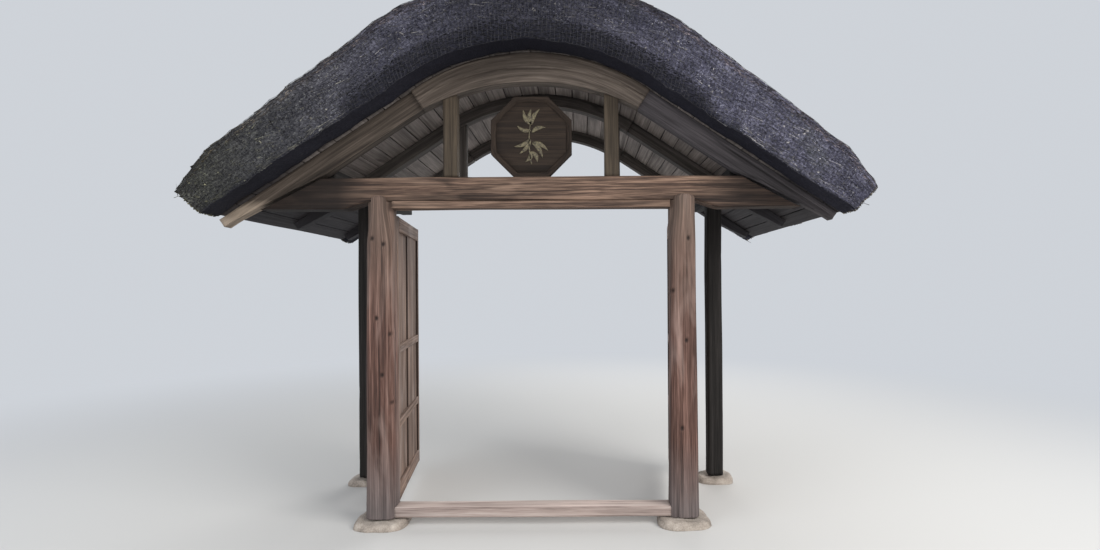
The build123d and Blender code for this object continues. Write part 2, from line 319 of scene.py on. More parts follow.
def dress(piece, material, slot, *nodes, body="frame"):
    """Gives a finished piece its material and body, and hides the nodes it stands for; the slot is not
    used.
    """
    piece.data.materials.clear()
    piece.data.materials.append(material)
    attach(piece, body)
    if nodes:
        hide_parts(*nodes)
    print(piece.name, len(piece.data.vertices), "vertices")


# %% [markdown]
# Materials are trees of nodes. They could be wired by hand in the editor, but a few helpers
# that add, set and link nodes in one call keep each recipe short enough to read here.

# %% Node helpers
def connect(tree, node, **links):
    """Sets or links inputs, by name with _ for a space or by number as in i0."""
    for key, value in links.items():
        numbered = key[0] == "i" and key[1:].isdigit()
        socket = node.inputs[int(key[1:]) if numbered else key.replace("_", " ")]
        if isinstance(value, bpy.types.NodeSocket):
            tree.links.new(value, socket)
        else:
            socket.default_value = value
    return node


def add(tree, kind, settings=(), **links):
    """Adds a node with its settings and inputs."""
    node = tree.nodes.new(kind)
    for key, value in dict(settings).items():
        setattr(node, key, value)
    return connect(tree, node, **links)


def new_material(name):
    """Empty node material; returns it with its tree and its shader."""
    material = bpy.data.materials.new(name)
    material.use_nodes = True
    tree = material.node_tree
    tree.nodes.clear()
    shader = add(tree, "ShaderNodeBsdfPrincipled")
    add(tree, "ShaderNodeOutputMaterial", Surface=shader.outputs[0])
    return material, tree, shader


# %% Patterns and colours
def reading(tree, name, output="Fac"):
    """Output of an attribute of the piece."""
    return add(tree, "ShaderNodeAttribute", {"attribute_name": name}).outputs[output]


def place_of(tree):
    """Object coordinates."""
    return add(tree, "ShaderNodeTexCoord").outputs["Object"]


def mottle(tree, vector, scale, detail, twist=0.0, rough=0.55):
    """Noise with one scale, or with a scale for each axis."""
    scale = scale if isinstance(scale, tuple) else (scale,) * 3
    mapping = add(tree, "ShaderNodeMapping", Vector=vector, Scale=scale)
    return add(
        tree, "ShaderNodeTexNoise", Vector=mapping.outputs[0], Scale=1.0, Detail=detail,
        Distortion=twist, Roughness=rough,
    ).outputs["Fac"]


def ramp(tree, factor, *stops):
    """Colour ramp through stops of a position and a colour or a grey."""
    node = add(tree, "ShaderNodeValToRGB", Fac=factor)
    elements = node.color_ramp.elements
    while len(elements) < len(stops):
        elements.new(0.5)
    for element, (position, colour) in zip(elements, stops):
        element.position = position
        element.color = (*(colour if isinstance(colour, tuple) else (colour,) * 3), 1.0)
    return node.outputs["Color"]


def mix(tree, factor, first, second, blend="MIX"):
    """Mixes two colours by a factor; a fixed colour may come without its alpha."""
    first, second = ((*c, 1.0) if isinstance(c, tuple) else c for c in (first, second))
    settings = {"data_type": "RGBA", "blend_type": blend}
    return add(tree, "ShaderNodeMix", settings, i0=factor, i6=first, i7=second).outputs[2]


# %% Sums of patterns
def compute(tree, operation, *values, clamp=False):
    """Arithmetic on numbers or outputs."""
    links = {f"i{number}": value for number, value in enumerate(values)}
    return add(tree, "ShaderNodeMath", {"operation": operation, "use_clamp": clamp}, **links).outputs[0]


def weigh(tree, first, share, second):
    """First with its share and second with the rest."""
    rest = compute(tree, "MULTIPLY", second, 1.0 - share)
    return compute(tree, "MULTIPLY_ADD", first, share, rest)


def excess(tree, value, start, gain):
    """How far a value is past a start, times a gain, between 0 and 1."""
    return compute(tree, "MULTIPLY", compute(tree, "SUBTRACT", value, start), gain, clamp=True)


# %% Finishes
def paint(tree, shader, colour, rough, height=None, strength=0.0, distance=0.0, gloss=0.5):
    """Sets the shader's colour, roughness and gloss, and its bump from a height."""
    connect(tree, shader, Base_Color=colour, Roughness=rough, Specular_IOR_Level=gloss)
    if height is not None:
        bump = add(tree, "ShaderNodeBump", Height=height, Strength=strength, Distance=distance)
        connect(tree, shader, Normal=bump.outputs[0])


def mottled(name, scale, detail, twist, noise_rough, rough, bump, *stops):
    """Plain finish with one noise that chooses its colour and lifts its bump."""
    material, tree, shader = new_material(name)
    spots = mottle(tree, place_of(tree), scale, detail, twist, noise_rough)
    paint(tree, shader, ramp(tree, spots, *stops), rough, spots if bump else None, *bump)
    return material, shader


print("helpers ready for the material trees")

# %% [markdown]
# Every wooden piece shares one recipe with its own colours; one material for all would look
# like plastic, and painted maps would not follow a change of shape. Three noises read the
# grain: wide streaks, fine fibres and slow patches. Streaks and fibres choose the colour from
# a ramp, patches shift its brightness, and cracks, knots and painted shade pull it to nearly black.

# %% Wood
STREAKS, FIBRES = (1.3, 60.0, 60.0), (7.0, 330.0, 330.0)
PATCHES, BLEACHED = (1.1, 5.0, 5.0), (1.7, 9.0, 9.0)


def wood(name, dark, middle, light, patch=0.45, rough=0.78, tints=(), bleach=None, spread=0.16):
    """Weathered wood that reads a piece's grain, cracks and knots.

    Each tint is a colour, the height where it starts, the rise over which it grows and its
    strength; bleach is the colour of sun-worn patches; a smaller spread gives a bolder figure.
    """
    material, tree, shader = new_material(name)
    grain = reading(tree, "grain", "Vector")
    streaks = mottle(tree, grain, STREAKS, 5.0, 0.6)
    patches = mottle(tree, grain, PATCHES, 3.0, 0.4)
    both = weigh(tree, streaks, 0.62, mottle(tree, grain, FIBRES, 3.0, 0.2))
    colour = ramp(tree, both, (0.5 - spread, dark), (0.5, middle), (0.5 + spread, light))
    shade = ramp(tree, patches, (0.3, 1.0 - patch), (0.7, 1.0 + 0.35 * patch))
    colour = mix(tree, 1.0, colour, shade, "MULTIPLY")
    texture = ramp(tree, both, (0.3, 0.35), (0.7, 1.4))
    if bleach is not None:
        share = excess(tree, mottle(tree, grain, BLEACHED, 3.0, 0.8), 0.50, 6.0)
        worn = mix(tree, 1.0, bleach, texture, "MULTIPLY")
        colour = mix(tree, compute(tree, "MULTIPLY", share, 0.65), colour, worn)
    height = add(tree, "ShaderNodeSeparateXYZ", Vector=place_of(tree)).outputs["Z"]
    uneven = compute(tree, "MULTIPLY", compute(tree, "SUBTRACT", streaks, 0.5), 0.9)
    for tint, start, rise, strength in tints:
        share = compute(tree, "DIVIDE", compute(tree, "SUBTRACT", height, start), rise)
        share = compute(tree, "MINIMUM", compute(tree, "ADD", share, uneven), 1.0)
        share = compute(tree, "MULTIPLY", share, strength, clamp=True)
        colour = mix(tree, share, colour, mix(tree, 1.0, tint, texture, "MULTIPLY"))
    mark = compute(tree, "MULTIPLY", reading(tree, "mark"), 0.92, clamp=True)
    colour = mix(tree, mark, colour, (dark[0] * 0.22, dark[1] * 0.2, dark[2] * 0.2))
    paint(tree, shader, colour, rough, both, 0.5, 0.004, gloss=0.3)
    return material


print("fibres are", round(FIBRES[1] / STREAKS[1], 1), "times finer than streaks")

# %% The gate's woods
EAVE_SHADE = (0.030, 0.028, 0.033)
post_wood = wood(
    "post_wood", (0.034, 0.017, 0.013), (0.106, 0.053, 0.040), (0.230, 0.132, 0.106), 0.5,
    tints=(((0.125, 0.108, 0.106), 0.50, -0.40, 0.85), ((0.130, 0.098, 0.077), 1.15, 0.65, 0.62)),
    bleach=(0.250, 0.172, 0.148), spread=0.12,
)
beam_wood = wood(
    "beam_wood", (0.024, 0.014, 0.010), (0.088, 0.053, 0.038), (0.240, 0.155, 0.110), 0.6,
    bleach=(0.260, 0.175, 0.128), spread=0.10,
)
rib_wood = wood("rib_wood", (0.036, 0.027, 0.021), (0.092, 0.072, 0.058), (0.178, 0.144, 0.120), 0.4)
# The side ribs are darker copies of the rib wood, painted shade; the pale tint on the left rib's tail is
# painted light
left_rib_shade_and_light = wood(
    "left_rib_shade_and_light", (0.026, 0.019, 0.014), (0.061, 0.047, 0.037), (0.122, 0.096, 0.078), 0.4,
    tints=(((0.330, 0.265, 0.205), 1.955, -0.05, 0.85),),
)
right_rib_shaded = wood(
    "right_rib_shaded", (0.028, 0.024, 0.026), (0.066, 0.058, 0.062), (0.128, 0.112, 0.118), 0.4,
)
inner_rib_wood = wood(
    "inner_rib_wood", (0.028, 0.023, 0.020), (0.070, 0.060, 0.054), (0.125, 0.108, 0.098), 0.4,
    tints=((EAVE_SHADE, 2.20, -0.12, 0.9),),
)
strut_wood = wood("strut_wood", (0.018, 0.012, 0.007), (0.047, 0.034, 0.022), (0.090, 0.068, 0.046), 0.4)
# The rear posts, tie and purlins are nearly black: painted shade under the roof
rear_wood = wood(
    "rear_wood", (0.006, 0.005, 0.005), (0.015, 0.013, 0.012), (0.034, 0.030, 0.029), 0.4, 0.86,
)
deck_wood = wood(
    "deck_wood", (0.115, 0.098, 0.088), (0.225, 0.195, 0.180), (0.340, 0.300, 0.276), 0.5,
    tints=((EAVE_SHADE, 2.17, -0.12, 0.93),),
)
leaf_wood = wood(
    "leaf_wood", (0.080, 0.048, 0.035), (0.205, 0.136, 0.104), (0.370, 0.262, 0.210), 0.5,
    bleach=(0.330, 0.262, 0.235),
)
sill_wood = wood("sill_wood", (0.225, 0.172, 0.152), (0.530, 0.425, 0.382), (0.740, 0.640, 0.590), 0.4)
plaque_wood = wood(
    "plaque_wood", (0.006, 0.003, 0.002), (0.017, 0.010, 0.006), (0.038, 0.025, 0.017), 0.4, 0.85,
)
print("wood materials made")

# %% [markdown]
# Sill, lintel, tie, struts and rear posts are straight bars that fill their nodes' boxes.
# The main posts are squared logs: the arrises wander, the foot is a little wider, and the
# head is slimmer. A boolean could cut the notch for the beam, but the front of the post just
# goes on as a thin tongue that laps the beam's lower edge, so the rings stay even.

# %% Straight timbers
AXES = np.eye(3)
LEVEL, UPRIGHT = 0, 2
UPRIGHT_WEAR, LEVEL_WEAR = (0.0025, 0.0007, 0.0035), (0.002, 0.0007, 0.003)
FIGURE_SHIFT = np.array((3.7, 1.9, 2.3))


def timber(name, start, end, across, up, width, height, radius, seed, spacing=0.0055, along=0.02):
    """Straight bar with rounded edges from start to end."""
    length = float(np.linalg.norm(end - start))
    share = np.linspace(0.0, 1.0, max(3, int(length / along) + 1))
    section = rounded_section(width, height, radius, spacing)
    centres = start + (end - start) * share[:, None]
    rings = centres[:, None] + section[:, :1] * across + section[:, 1:] * up
    grain = [np.insert(section, 0, part * length, axis=1) for part in share]
    return ring_mesh(name, rings, grain + FIGURE_SHIFT * seed)


def box_timber(node, suffix, axis, radius, material, slot, seed, front_shade=0.0):
    """Straight timber that fills a node's box; its front face may get painted shade."""
    low, high, size = box_of(node)
    start, end = (low + high) / 2, (low + high) / 2
    start[axis], end[axis] = low[axis], high[axis]
    first, second = (other for other in range(3) if other != axis)
    piece = timber(
        node + suffix, start, end, AXES[first], AXES[second], size[first], size[second], radius, seed,
    )
    weather(piece, *(UPRIGHT_WEAR if axis == UPRIGHT else LEVEL_WEAR), seed * 10)
    paint_shade(piece, read(piece, "mark") + front_shade * climb(-read(piece, "normal")[:, 1], 0.3, 0.5))
    dress(piece, material, slot, node)


# %% Main posts
HEAD_START, HEAD_RISE = 1.66, 0.26
FLARE = 0.16
LAP, LAP_BLEND = 0.045, 0.030
TONGUE_START, TONGUE_NARROWER, TONGUE_LEAN, TONGUE_COVER = 0.012, 0.45, 0.010, 0.006
TONGUE_STEPS = (0.002, 0.010, 0.020, 0.027, 0.032)
LOG_RINGS, LOG_ROUND, LOG_SPACING = 260, 0.040, 0.0050


def main_log(node, seed, knots, head_width, head_shift):
    """Main post: a squared log, slimmer at its head, whose front laps the beam."""
    low, high, size = box_of(node)
    middle = (low + high) / 2
    _, beam_front, beam_low = box_of("front_beam")[0]
    seat = beam_low + LAP
    body = np.linspace(low[2], seat - 0.002, LOG_RINGS)
    tongue = [*(seat + step for step in TONGUE_STEPS), high[2]]
    section = rounded_section(size[0], size[1], LOG_ROUND, LOG_SPACING)
    before_beam = smooth(climb(section[:, 1], beam_front + LAP_BLEND - middle[1], -LAP_BLEND))
    rings, grains = [], []
    for height in (*body, *tongue):
        rise = smooth(climb(height, HEAD_START, HEAD_RISE))
        over = climb(height, seat + TONGUE_START, high[2] - seat - TONGUE_START)
        front = 1.0 if height > seat else before_beam
        width = 1.0 + FLARE * (1.0 - height / high[2]) ** 2
        width = width * (1.0 + (head_width - 1.0) * rise * front) * (1.0 - TONGUE_NARROWER * over**2)
        x = section[:, 0] * width + middle[0] + head_shift * rise * front
        y = section[:, 1] * (1.0 - 0.04 * rise) + middle[1]
        if height > seat:
            y = np.minimum(y + TONGUE_LEAN * over**2, beam_front + TONGUE_COVER)
        rings.append(np.insert(np.column_stack([x, y]), 2, height, axis=1))
        grains.append(np.insert(section, 0, height, axis=1) + 2.3 * seed)
    piece = ring_mesh(node + "_log", rings, grains)
    weather(piece, 0.0035, 0.0008, 0.0045, seed * 10, knots, 0.007)
    dress(piece, post_wood, "main_timber", node)


# %% Posts, sill, lintel and tie
# Knots of the main posts: height above ground and place across the front face, in metres
LEFT_KNOTS = (
    (1.681, 0.032), (1.716, -0.033), (1.242, -0.009), (1.147, 0.070), (0.905, 0.022), (0.739, 0.078),
)
RIGHT_KNOTS = ((1.707, 0.024), (1.396, -0.071), (1.100, 0.010), (0.579, -0.018))
KNOT_SIZE = 0.0095

for hand, seed, spots, head_width, head_shift in (
    ("left", 1, LEFT_KNOTS, 0.60, -0.004), ("right", 2, RIGHT_KNOTS, 0.82, 0.010),
):
    low, high, size = box_of("main_post_" + hand)
    middle_x = (low[0] + high[0]) / 2
    knots = [(middle_x + across, low[1], height, KNOT_SIZE) for height, across in spots]
    main_log("main_post_" + hand, seed, knots, head_width, head_shift)
    box_timber("rear_post_" + hand, "_log", UPRIGHT, 0.018, rear_wood, "rear_timber", seed + 4)
    box_timber("strut_" + hand, "_wood", UPRIGHT, 0.007, strut_wood, "main_timber", seed + 8)
    box_timber("rear_strut_" + hand, "_wood", UPRIGHT, 0.007, inner_rib_wood, "rear_timber", seed + 8)

# Painted shade on the sill's front face, which is lit less than its top
box_timber("sill", "_log", LEVEL, 0.012, sill_wood, "main_timber", 21, front_shade=0.38)
box_timber("lintel", "_log", LEVEL, 0.008, beam_wood, "main_timber", 22)
box_timber("rear_tie", "_log", LEVEL, 0.010, rear_wood, "rear_timber", 23)

# %% [markdown]
# The purlins and the beam aren't plain bars: the purlin's top is bevelled to the roof's
# slope, and the ends of the beam thicken downwards and are cut to the ribs that lie on them.
# They could be cut with booleans, but they stay rings along one axis, with corner heights
# that change from ring to ring, so that the weather can work on an even mesh.

# %% Front beam
FRONT_RIB_DEPTH, INNER_DEPTH = 0.130, 0.085
TAIL_DEPTH, TAIL_REACH = 0.075, 1.840
TAPER_START = 1.300
taper_end = TAIL_REACH - TAIL_DEPTH * sin(FLANK)
lintel_top, post_outer = box_of("lintel")[1][2], box_of("main_post_right")[1][0]
drop = lintel_top - box_of("front_beam")[0][2]
BEAM_RINGS, PURLIN_RINGS = 180, 70
BEAM_FIGURE, PURLIN_FIGURE = 4.0, 7.0
# The beam deepens over this many times its drop, and its ends keep at least this thickness
DROP_SLOPE, THIN_EDGE = 3, 0.004
# Painted shade darkens both ends, in shadow under the ribs, and the left part more than the middle:
# amount, start, rise
SHADED_ENDS, SHADED_LEFT = (0.80, 0.95, 0.30), (0.45, -0.45, -0.5)


def front_rib_low(x):
    """Height of the front rib's lower edge outside the crown, with its tapered tail."""
    start = flank_height(TAPER_START, FRONT_RIB_DEPTH)
    end = flank_height(TAIL_REACH, 0.0) - TAIL_DEPTH * cos(FLANK)
    if x <= TAPER_START:
        return flank_height(x, FRONT_RIB_DEPTH)
    return start + (end - start) * (x - TAPER_START) / (taper_end - TAPER_START)


def beam_section(station):
    """Section of the beam at a place along it, deeper and cut to the rib near its ends."""
    (_, front, _), (_, back, top), _ = box_of("front_beam")
    reach = abs(station)
    under = lintel_top - climb(reach, post_outer, DROP_SLOPE * drop) * drop
    over = max(min(top, front_rib_low(reach)), under + THIN_EDGE)
    return outline(((front, under), (back, under), (back, over), (front, over)), 26, 6)


(beam_start, _, _), (beam_end, _, _), _ = box_of("front_beam")
stations = np.linspace(beam_start, beam_end, BEAM_RINGS)
beam = swept("front_beam_log", 0, stations, beam_section, (0.0, BEAM_FIGURE, BEAM_FIGURE))
weather(beam, 0.004, 0.0009, 0.0035, 300)
across = read(beam, "position")[:, 0]
(ends, *far_out), (left, *leftwards) = SHADED_ENDS, SHADED_LEFT
paint_shade(beam, ends * climb(np.abs(across), *far_out) + left * climb(across, *leftwards))
dress(beam, beam_wood, "main_timber", "front_beam")

# %% Purlins
CUT_START, CUT_HEIGHT = 0.35, 0.050


def purlin(node, side):
    """Purlin with a bevelled top, whose rear end is cut away below."""
    low, high, _ = box_of(node)
    inner, outer = sorted((abs(low[0]), abs(high[0])))
    tops = [(side * x, flank_height(x, INNER_DEPTH)) for x in (outer, inner)]

    def section(station):
        under = low[2] + CUT_HEIGHT * smooth(climb(station, CUT_START, high[1] - CUT_START))
        return outline(((side * inner, under), (side * outer, under), *tops), 16, 3)

    shift = (0.0, PURLIN_FIGURE * side, PURLIN_FIGURE * side)
    piece = swept(node + "_log", 1, np.linspace(low[1], high[1], PURLIN_RINGS), section, shift)
    weather(piece, 0.002, 0.0007, 0.002, 320 + side)
    dress(piece, rear_wood, "rear_timber", node)


purlin("purlin_left", -1)
purlin("purlin_right", 1)

# %% [markdown]
# Each rib is a bent crown piece between two straight sides. The front one is the deepest: at
# the crown it is carved to a flatter curve below, with a groove along it, and its square ends
# stand proud of the thinner sides. A bevelled curve object has one section only, so the nine
# pieces are rings along the roof's curve, one section stretched to the depth at each place.

# %% Ribs
SECTION_DEPTH = 0.13


def rib(node, runs, depth_at, front, back, material, slot, shift, seed, groove=None, proud=0.0):
    """Rib piece along the roof's curve, with a depth for each place along it."""
    pattern = rounded_section(back - front, SECTION_DEPTH, 0.006, 0.006)
    rings, grains = [], []
    for run in runs:
        depth = depth_at(run)
        out = (pattern[:, 1] - SECTION_DEPTH / 2) * depth / SECTION_DEPTH
        across = pattern[:, 0].copy()
        if groove is not None:
            level, width, cut = groove
            across[(np.abs(out + depth - level) < width) & (across < 0)] += cut
        x, z = roof_curve(run, out)
        rings.append(np.column_stack([x, (front + back) / 2 - proud + across, z]))
        grains.append(np.insert(np.column_stack([pattern[:, 0], out]), 0, run, axis=1) + shift)
    piece = ring_mesh(node + "_wood", rings, grains)
    weather(piece, 0.0022, 0.0007, 0.0026, seed * 7)
    dress(piece, material, slot, node)


# %% Depths of the ribs
CROWN_DEPTH, JOINT_X, CROWN_REACH, PROUD = 0.177, 0.655, 0.765, 0.007
# The groove's level above the lower edge, half its width and its depth
GROOVE = (0.088, 0.0045, 0.008)
SIDE_START, LEFT_TAIL_EXTRA, INNER_SHORTER = 0.70, 0.045, 0.055
TAIL_SLIMMER = 0.24
INNER_TAIL, INNER_SLIMMER = 0.40, 0.040
crown_fall = (crown_top - CROWN_DEPTH) - flank_height(JOINT_X, FRONT_RIB_DEPTH)
low_radius = (JOINT_X**2 + crown_fall**2) / (2 * crown_fall)
centre_gap = crown_centre - (crown_top - CROWN_DEPTH - low_radius)
tail_run = run_at(TAIL_REACH)


def crown_depth(run):
    """Depth of the front crown piece, measured inwards from the ceiling along its radius."""
    angle = abs(run) / CROWN_RADIUS
    along = np.sqrt(low_radius**2 - (centre_gap * sin(angle)) ** 2) - centre_gap * cos(angle)
    return CROWN_RADIUS - along


def side_depth(run):
    """Depth of the front rib's side piece, tapering from the beam's end to the tail."""
    x = CROWN_RADIUS * sin(FLANK) + (abs(run) - CROWN_RUN) * cos(FLANK)
    depth = (flank_height(x, 0.0) - front_rib_low(x)) * cos(FLANK)
    slimmer = 1.0 - TAIL_SLIMMER * climb(x, TAPER_START, TAIL_REACH - TAPER_START)
    return np.clip(depth, TAIL_DEPTH, FRONT_RIB_DEPTH) * slimmer


def plain_depth(run):
    """Depth of the middle and rear ribs, thinner towards the tail."""
    return INNER_DEPTH - INNER_SLIMMER * climb(abs(run), tail_run - INNER_TAIL, INNER_TAIL)


print("front crown piece", CROWN_DEPTH, "m deep, its lower radius", round(low_radius, 3), "m")


# %% Nine ribs
(_, front_y, _), (_, back_y, _), _ = box_of("front_rib_crown")
rib(
    "front_rib_crown", np.linspace(-CROWN_REACH, CROWN_REACH, 114), crown_depth, front_y, back_y,
    rib_wood, "rib_timber", 5, 51, groove=GROOVE, proud=PROUD,
)
for hand, side, material, extra in (
    ("left", -1, left_rib_shade_and_light, LEFT_TAIL_EXTRA), ("right", 1, right_rib_shaded, 0.0),
):
    runs = side * np.linspace(SIDE_START, tail_run + extra, 90)
    rib(
        "front_rib_" + hand, runs, side_depth, front_y + 0.010, back_y - 0.004,
        material, "rib_timber", 6 + side, 54 + side,
    )
for row, name in enumerate(("middle", "rear")):
    (_, near, _), (_, far, _), _ = box_of(name + "_rib_crown")
    inner = (plain_depth, near, far, inner_rib_wood, "rear_timber")
    rib(name + "_rib_crown", np.linspace(-CROWN_RUN, CROWN_RUN, 40), *inner, 9 + row, 60 + row)
    for hand, side in (("left", -1), ("right", 1)):
        runs = side * np.linspace(CROWN_RUN + 0.001, tail_run - INNER_SHORTER, 40)
        number = 3 * row + side
        rib(name + "_rib_" + hand, runs, *inner, 12 + number, 64 + number)

# %% [markdown]
# The ceiling is made of boards that run from the front to the back, side by side over the
# ribs like the staves of a barrel. Lines drawn on one curved sheet would look flat from
# below, so each board is its own bar with a narrow gap beside it and its own grain, and the
# boards of one panel are joined into one mesh.

# %% Ceiling boards
BOARD_WIDTH, BOARD_GAP = 0.118, 0.0035
DECK = 0.028
DECK_REACH = 1.850
RAGGED = 0.003
BOARD_RINGS = 22
END_SHADE, END_DEPTH = 0.8, 0.006
BOARD_SHIFT = np.array((2.1, 0.7, 1.3))


def join(name, pieces):
    """Joins several mesh objects into one, keeping their attributes."""
    target = link(name, bpy.data.meshes.new(name))
    work = bmesh.new()
    for piece in pieces:
        work.from_mesh(piece.data)
    work.to_mesh(target.data)
    work.free()
    for piece in pieces:
        bpy.data.meshes.remove(piece.data)
    target.data.shade_smooth()
    return target


def ceiling_board(start, end, near, far, seed):
    """One board between two runs of the ceiling's curve, with painted shade on its front end."""
    pattern = rounded_section(end - start - BOARD_GAP, DECK, 0.003, 0.02)
    flat = np.column_stack(roof_curve((start + end) / 2 + pattern[:, 0], pattern[:, 1] + DECK / 2))
    stations = np.linspace(near, far, BOARD_RINGS)
    rings = [np.insert(flat, 1, station, axis=1) for station in stations]
    grains = [np.insert(pattern, 0, station, axis=1) + BOARD_SHIFT * seed for station in stations]
    piece = ring_mesh("board", rings, grains)
    weather(piece, 0.0025, 0.0005, 0.0012, 400 + seed)
    # Painted shade on the front end, under the thatch's overhang
    paint_shade(piece, END_SHADE * (read(piece, "position")[:, 1] < near + END_DEPTH))
    return piece


print("boards about", BOARD_WIDTH, "m wide and", DECK, "m thick")

# %% Ceiling panels
deck_end = run_at(DECK_REACH)
number = 0
for node, begin, finish in (
    ("deck_crown", -CROWN_RUN, CROWN_RUN), ("deck_left", -deck_end, -CROWN_RUN),
    ("deck_right", CROWN_RUN, deck_end),
):
    (_, near, _), (_, far, _), _ = box_of(node)
    edges = np.linspace(begin, finish, round((finish - begin) / BOARD_WIDTH) + 1)
    boards = []
    for start, end in zip(edges[:-1], edges[1:]):
        number += 1
        boards.append(ceiling_board(start, end, near + RAGGED * (number % 3), far, number))
    dress(join(node + "_boards", boards), deck_wood, "deck_boards", node)

# %% [markdown]
# The thatch is a thick coat of reeds laid down the slope and trimmed to a rounded nose along
# each eave. A box with subdivision would lose its crisp eaves, so its body is one closed mesh
# of grids: an outer skin whose rows turn over the verges, an underside, a face at each verge
# and a cut face at each eave. One field of smooth noise moves all of them, so the faces stay
# joined and the net can follow the same lumps later.

# %% Lines of the thatch
_, verge_y, thatch_top = box_of("thatch_crown")[1]
THATCH = thatch_top - crown_top
NOSE = np.array((box_of("thatch_right")[1][0] + 0.022, 1.990))
NOSE_START_X, NOSE_BULGE = 1.800, 0.010
LEAST_SWELL, CROWN_SWELL, FLANK_FALL = 0.010, 0.042, 0.034
# Start and rise, along the curve, of the swell over the crown and of the fall on the flanks
CROWN_PART, FLANK_PART = (1.5, -0.9), (1.25, 0.60)
UNDER_END_X = 1.8654


def resample(line, count):
    """Points along a line, spaced evenly."""
    steps = np.concatenate([[0], np.cumsum(np.linalg.norm(np.diff(line, axis=0), axis=1))])
    want = np.linspace(0, steps[-1], count)
    return np.column_stack([np.interp(want, steps, line[:, axis]) for axis in (0, 1)])


def outer_line(count):
    """Right half of the thatch's outer line, from the crown to the tip of the nose."""
    runs = np.linspace(1e-6, run_at(NOSE_START_X, THATCH), 200)
    swell = LEAST_SWELL + CROWN_SWELL * smooth(climb(runs, *CROWN_PART))
    swell -= FLANK_FALL * smooth(climb(runs, *FLANK_PART))
    slope = np.column_stack(roof_curve(runs, THATCH + swell))
    chord = NOSE - slope[-1]
    out = np.array((-chord[1], chord[0])) / np.linalg.norm(chord)
    share = np.linspace(0, 1, 40)[1:, None]
    nose = slope[-1] + chord * share + out * NOSE_BULGE * 4 * share * (1 - share)
    return resample(np.concatenate([slope, nose]), count)


def under_line(count):
    """Right half of the thatch's underside, from the crown to the eave's lower corner."""
    return np.column_stack(roof_curve(np.linspace(1e-6, run_at(UNDER_END_X, DECK), count), DECK))


def whole_line(right):
    """The line of the right half and its mirror image, from the left eave to the right one."""
    return np.concatenate([right[:0:-1] * (-1.0, 1.0), right])


print("thatch", round(THATCH, 3), "m thick")


# %% Grids of the thatch
VERGE_ROUND = 0.030
VERGE_TURN = np.radians((90.0, 65.0, 42.0, 20.0))
# Each row gives the lumps' height, their cell and a seed
LUMPS = (
    (0.010, (0.34, 0.30, 0.34), 700), (0.0055, (0.10, 0.08, 0.10), 710),
    (0.0030, (0.035, 0.030, 0.035), 720),
)
SINK = 0.006
SAG = DECK + 0.010
deck_front = box_of("deck_crown")[1][1]


def lumps(points):
    """Thatch points moved by its lumps, the same for every face that touches there."""
    moved = np.zeros_like(points)
    for axis in range(3):
        for height, cell, seed in LUMPS:
            moved[..., axis] += height * noise(points, cell, seed + axis)
    return points + moved - (0.0, 0.0, SINK)


def skin_grids(half_columns, body_rows):
    """Outer skin and underside as grids of rows and columns; rows turn over the verges."""
    over, under = whole_line(outer_line(half_columns)), whole_line(under_line(half_columns))
    toward = (under - over) / np.linalg.norm(under - over, axis=1)[:, None]
    straight = verge_y - VERGE_ROUND
    turn_y, turn_fall = VERGE_ROUND * np.sin(VERGE_TURN), VERGE_ROUND * (1 - np.cos(VERGE_TURN))
    body = np.linspace(-straight, straight, body_rows)
    rows = np.concatenate([-straight - turn_y, body, straight + turn_y[::-1]])
    falls = np.concatenate([turn_fall, np.zeros(body_rows), turn_fall[::-1]])
    sags = SAG * climb(np.abs(rows), deck_front, 0.012)
    top = [np.insert(over + toward * fall, 1, row, axis=1) for row, fall in zip(rows, falls)]
    low = [np.insert(under + toward * sag, 1, row, axis=1) for row, sag in zip(rows, sags)]
    return np.array(top), np.array(low)


def between(first, second, count):
    """Grid between two rows of points."""
    return first + (second - first) * np.linspace(0.0, 1.0, count)[:, None, None]


def grid_faces(grid, offset=0):
    """Quads of a grid whose first vertex has the number offset."""
    index = np.arange(grid.shape[0] * grid.shape[1]).reshape(grid.shape[:2]) + offset
    corners = [index[:-1, :-1], index[:-1, 1:], index[1:, 1:], index[1:, :-1]]
    return np.stack(corners, axis=-1).reshape(-1, 4)


print("lumps move a point by up to", round(sum(height for height, _, _ in LUMPS), 4), "m on an axis")

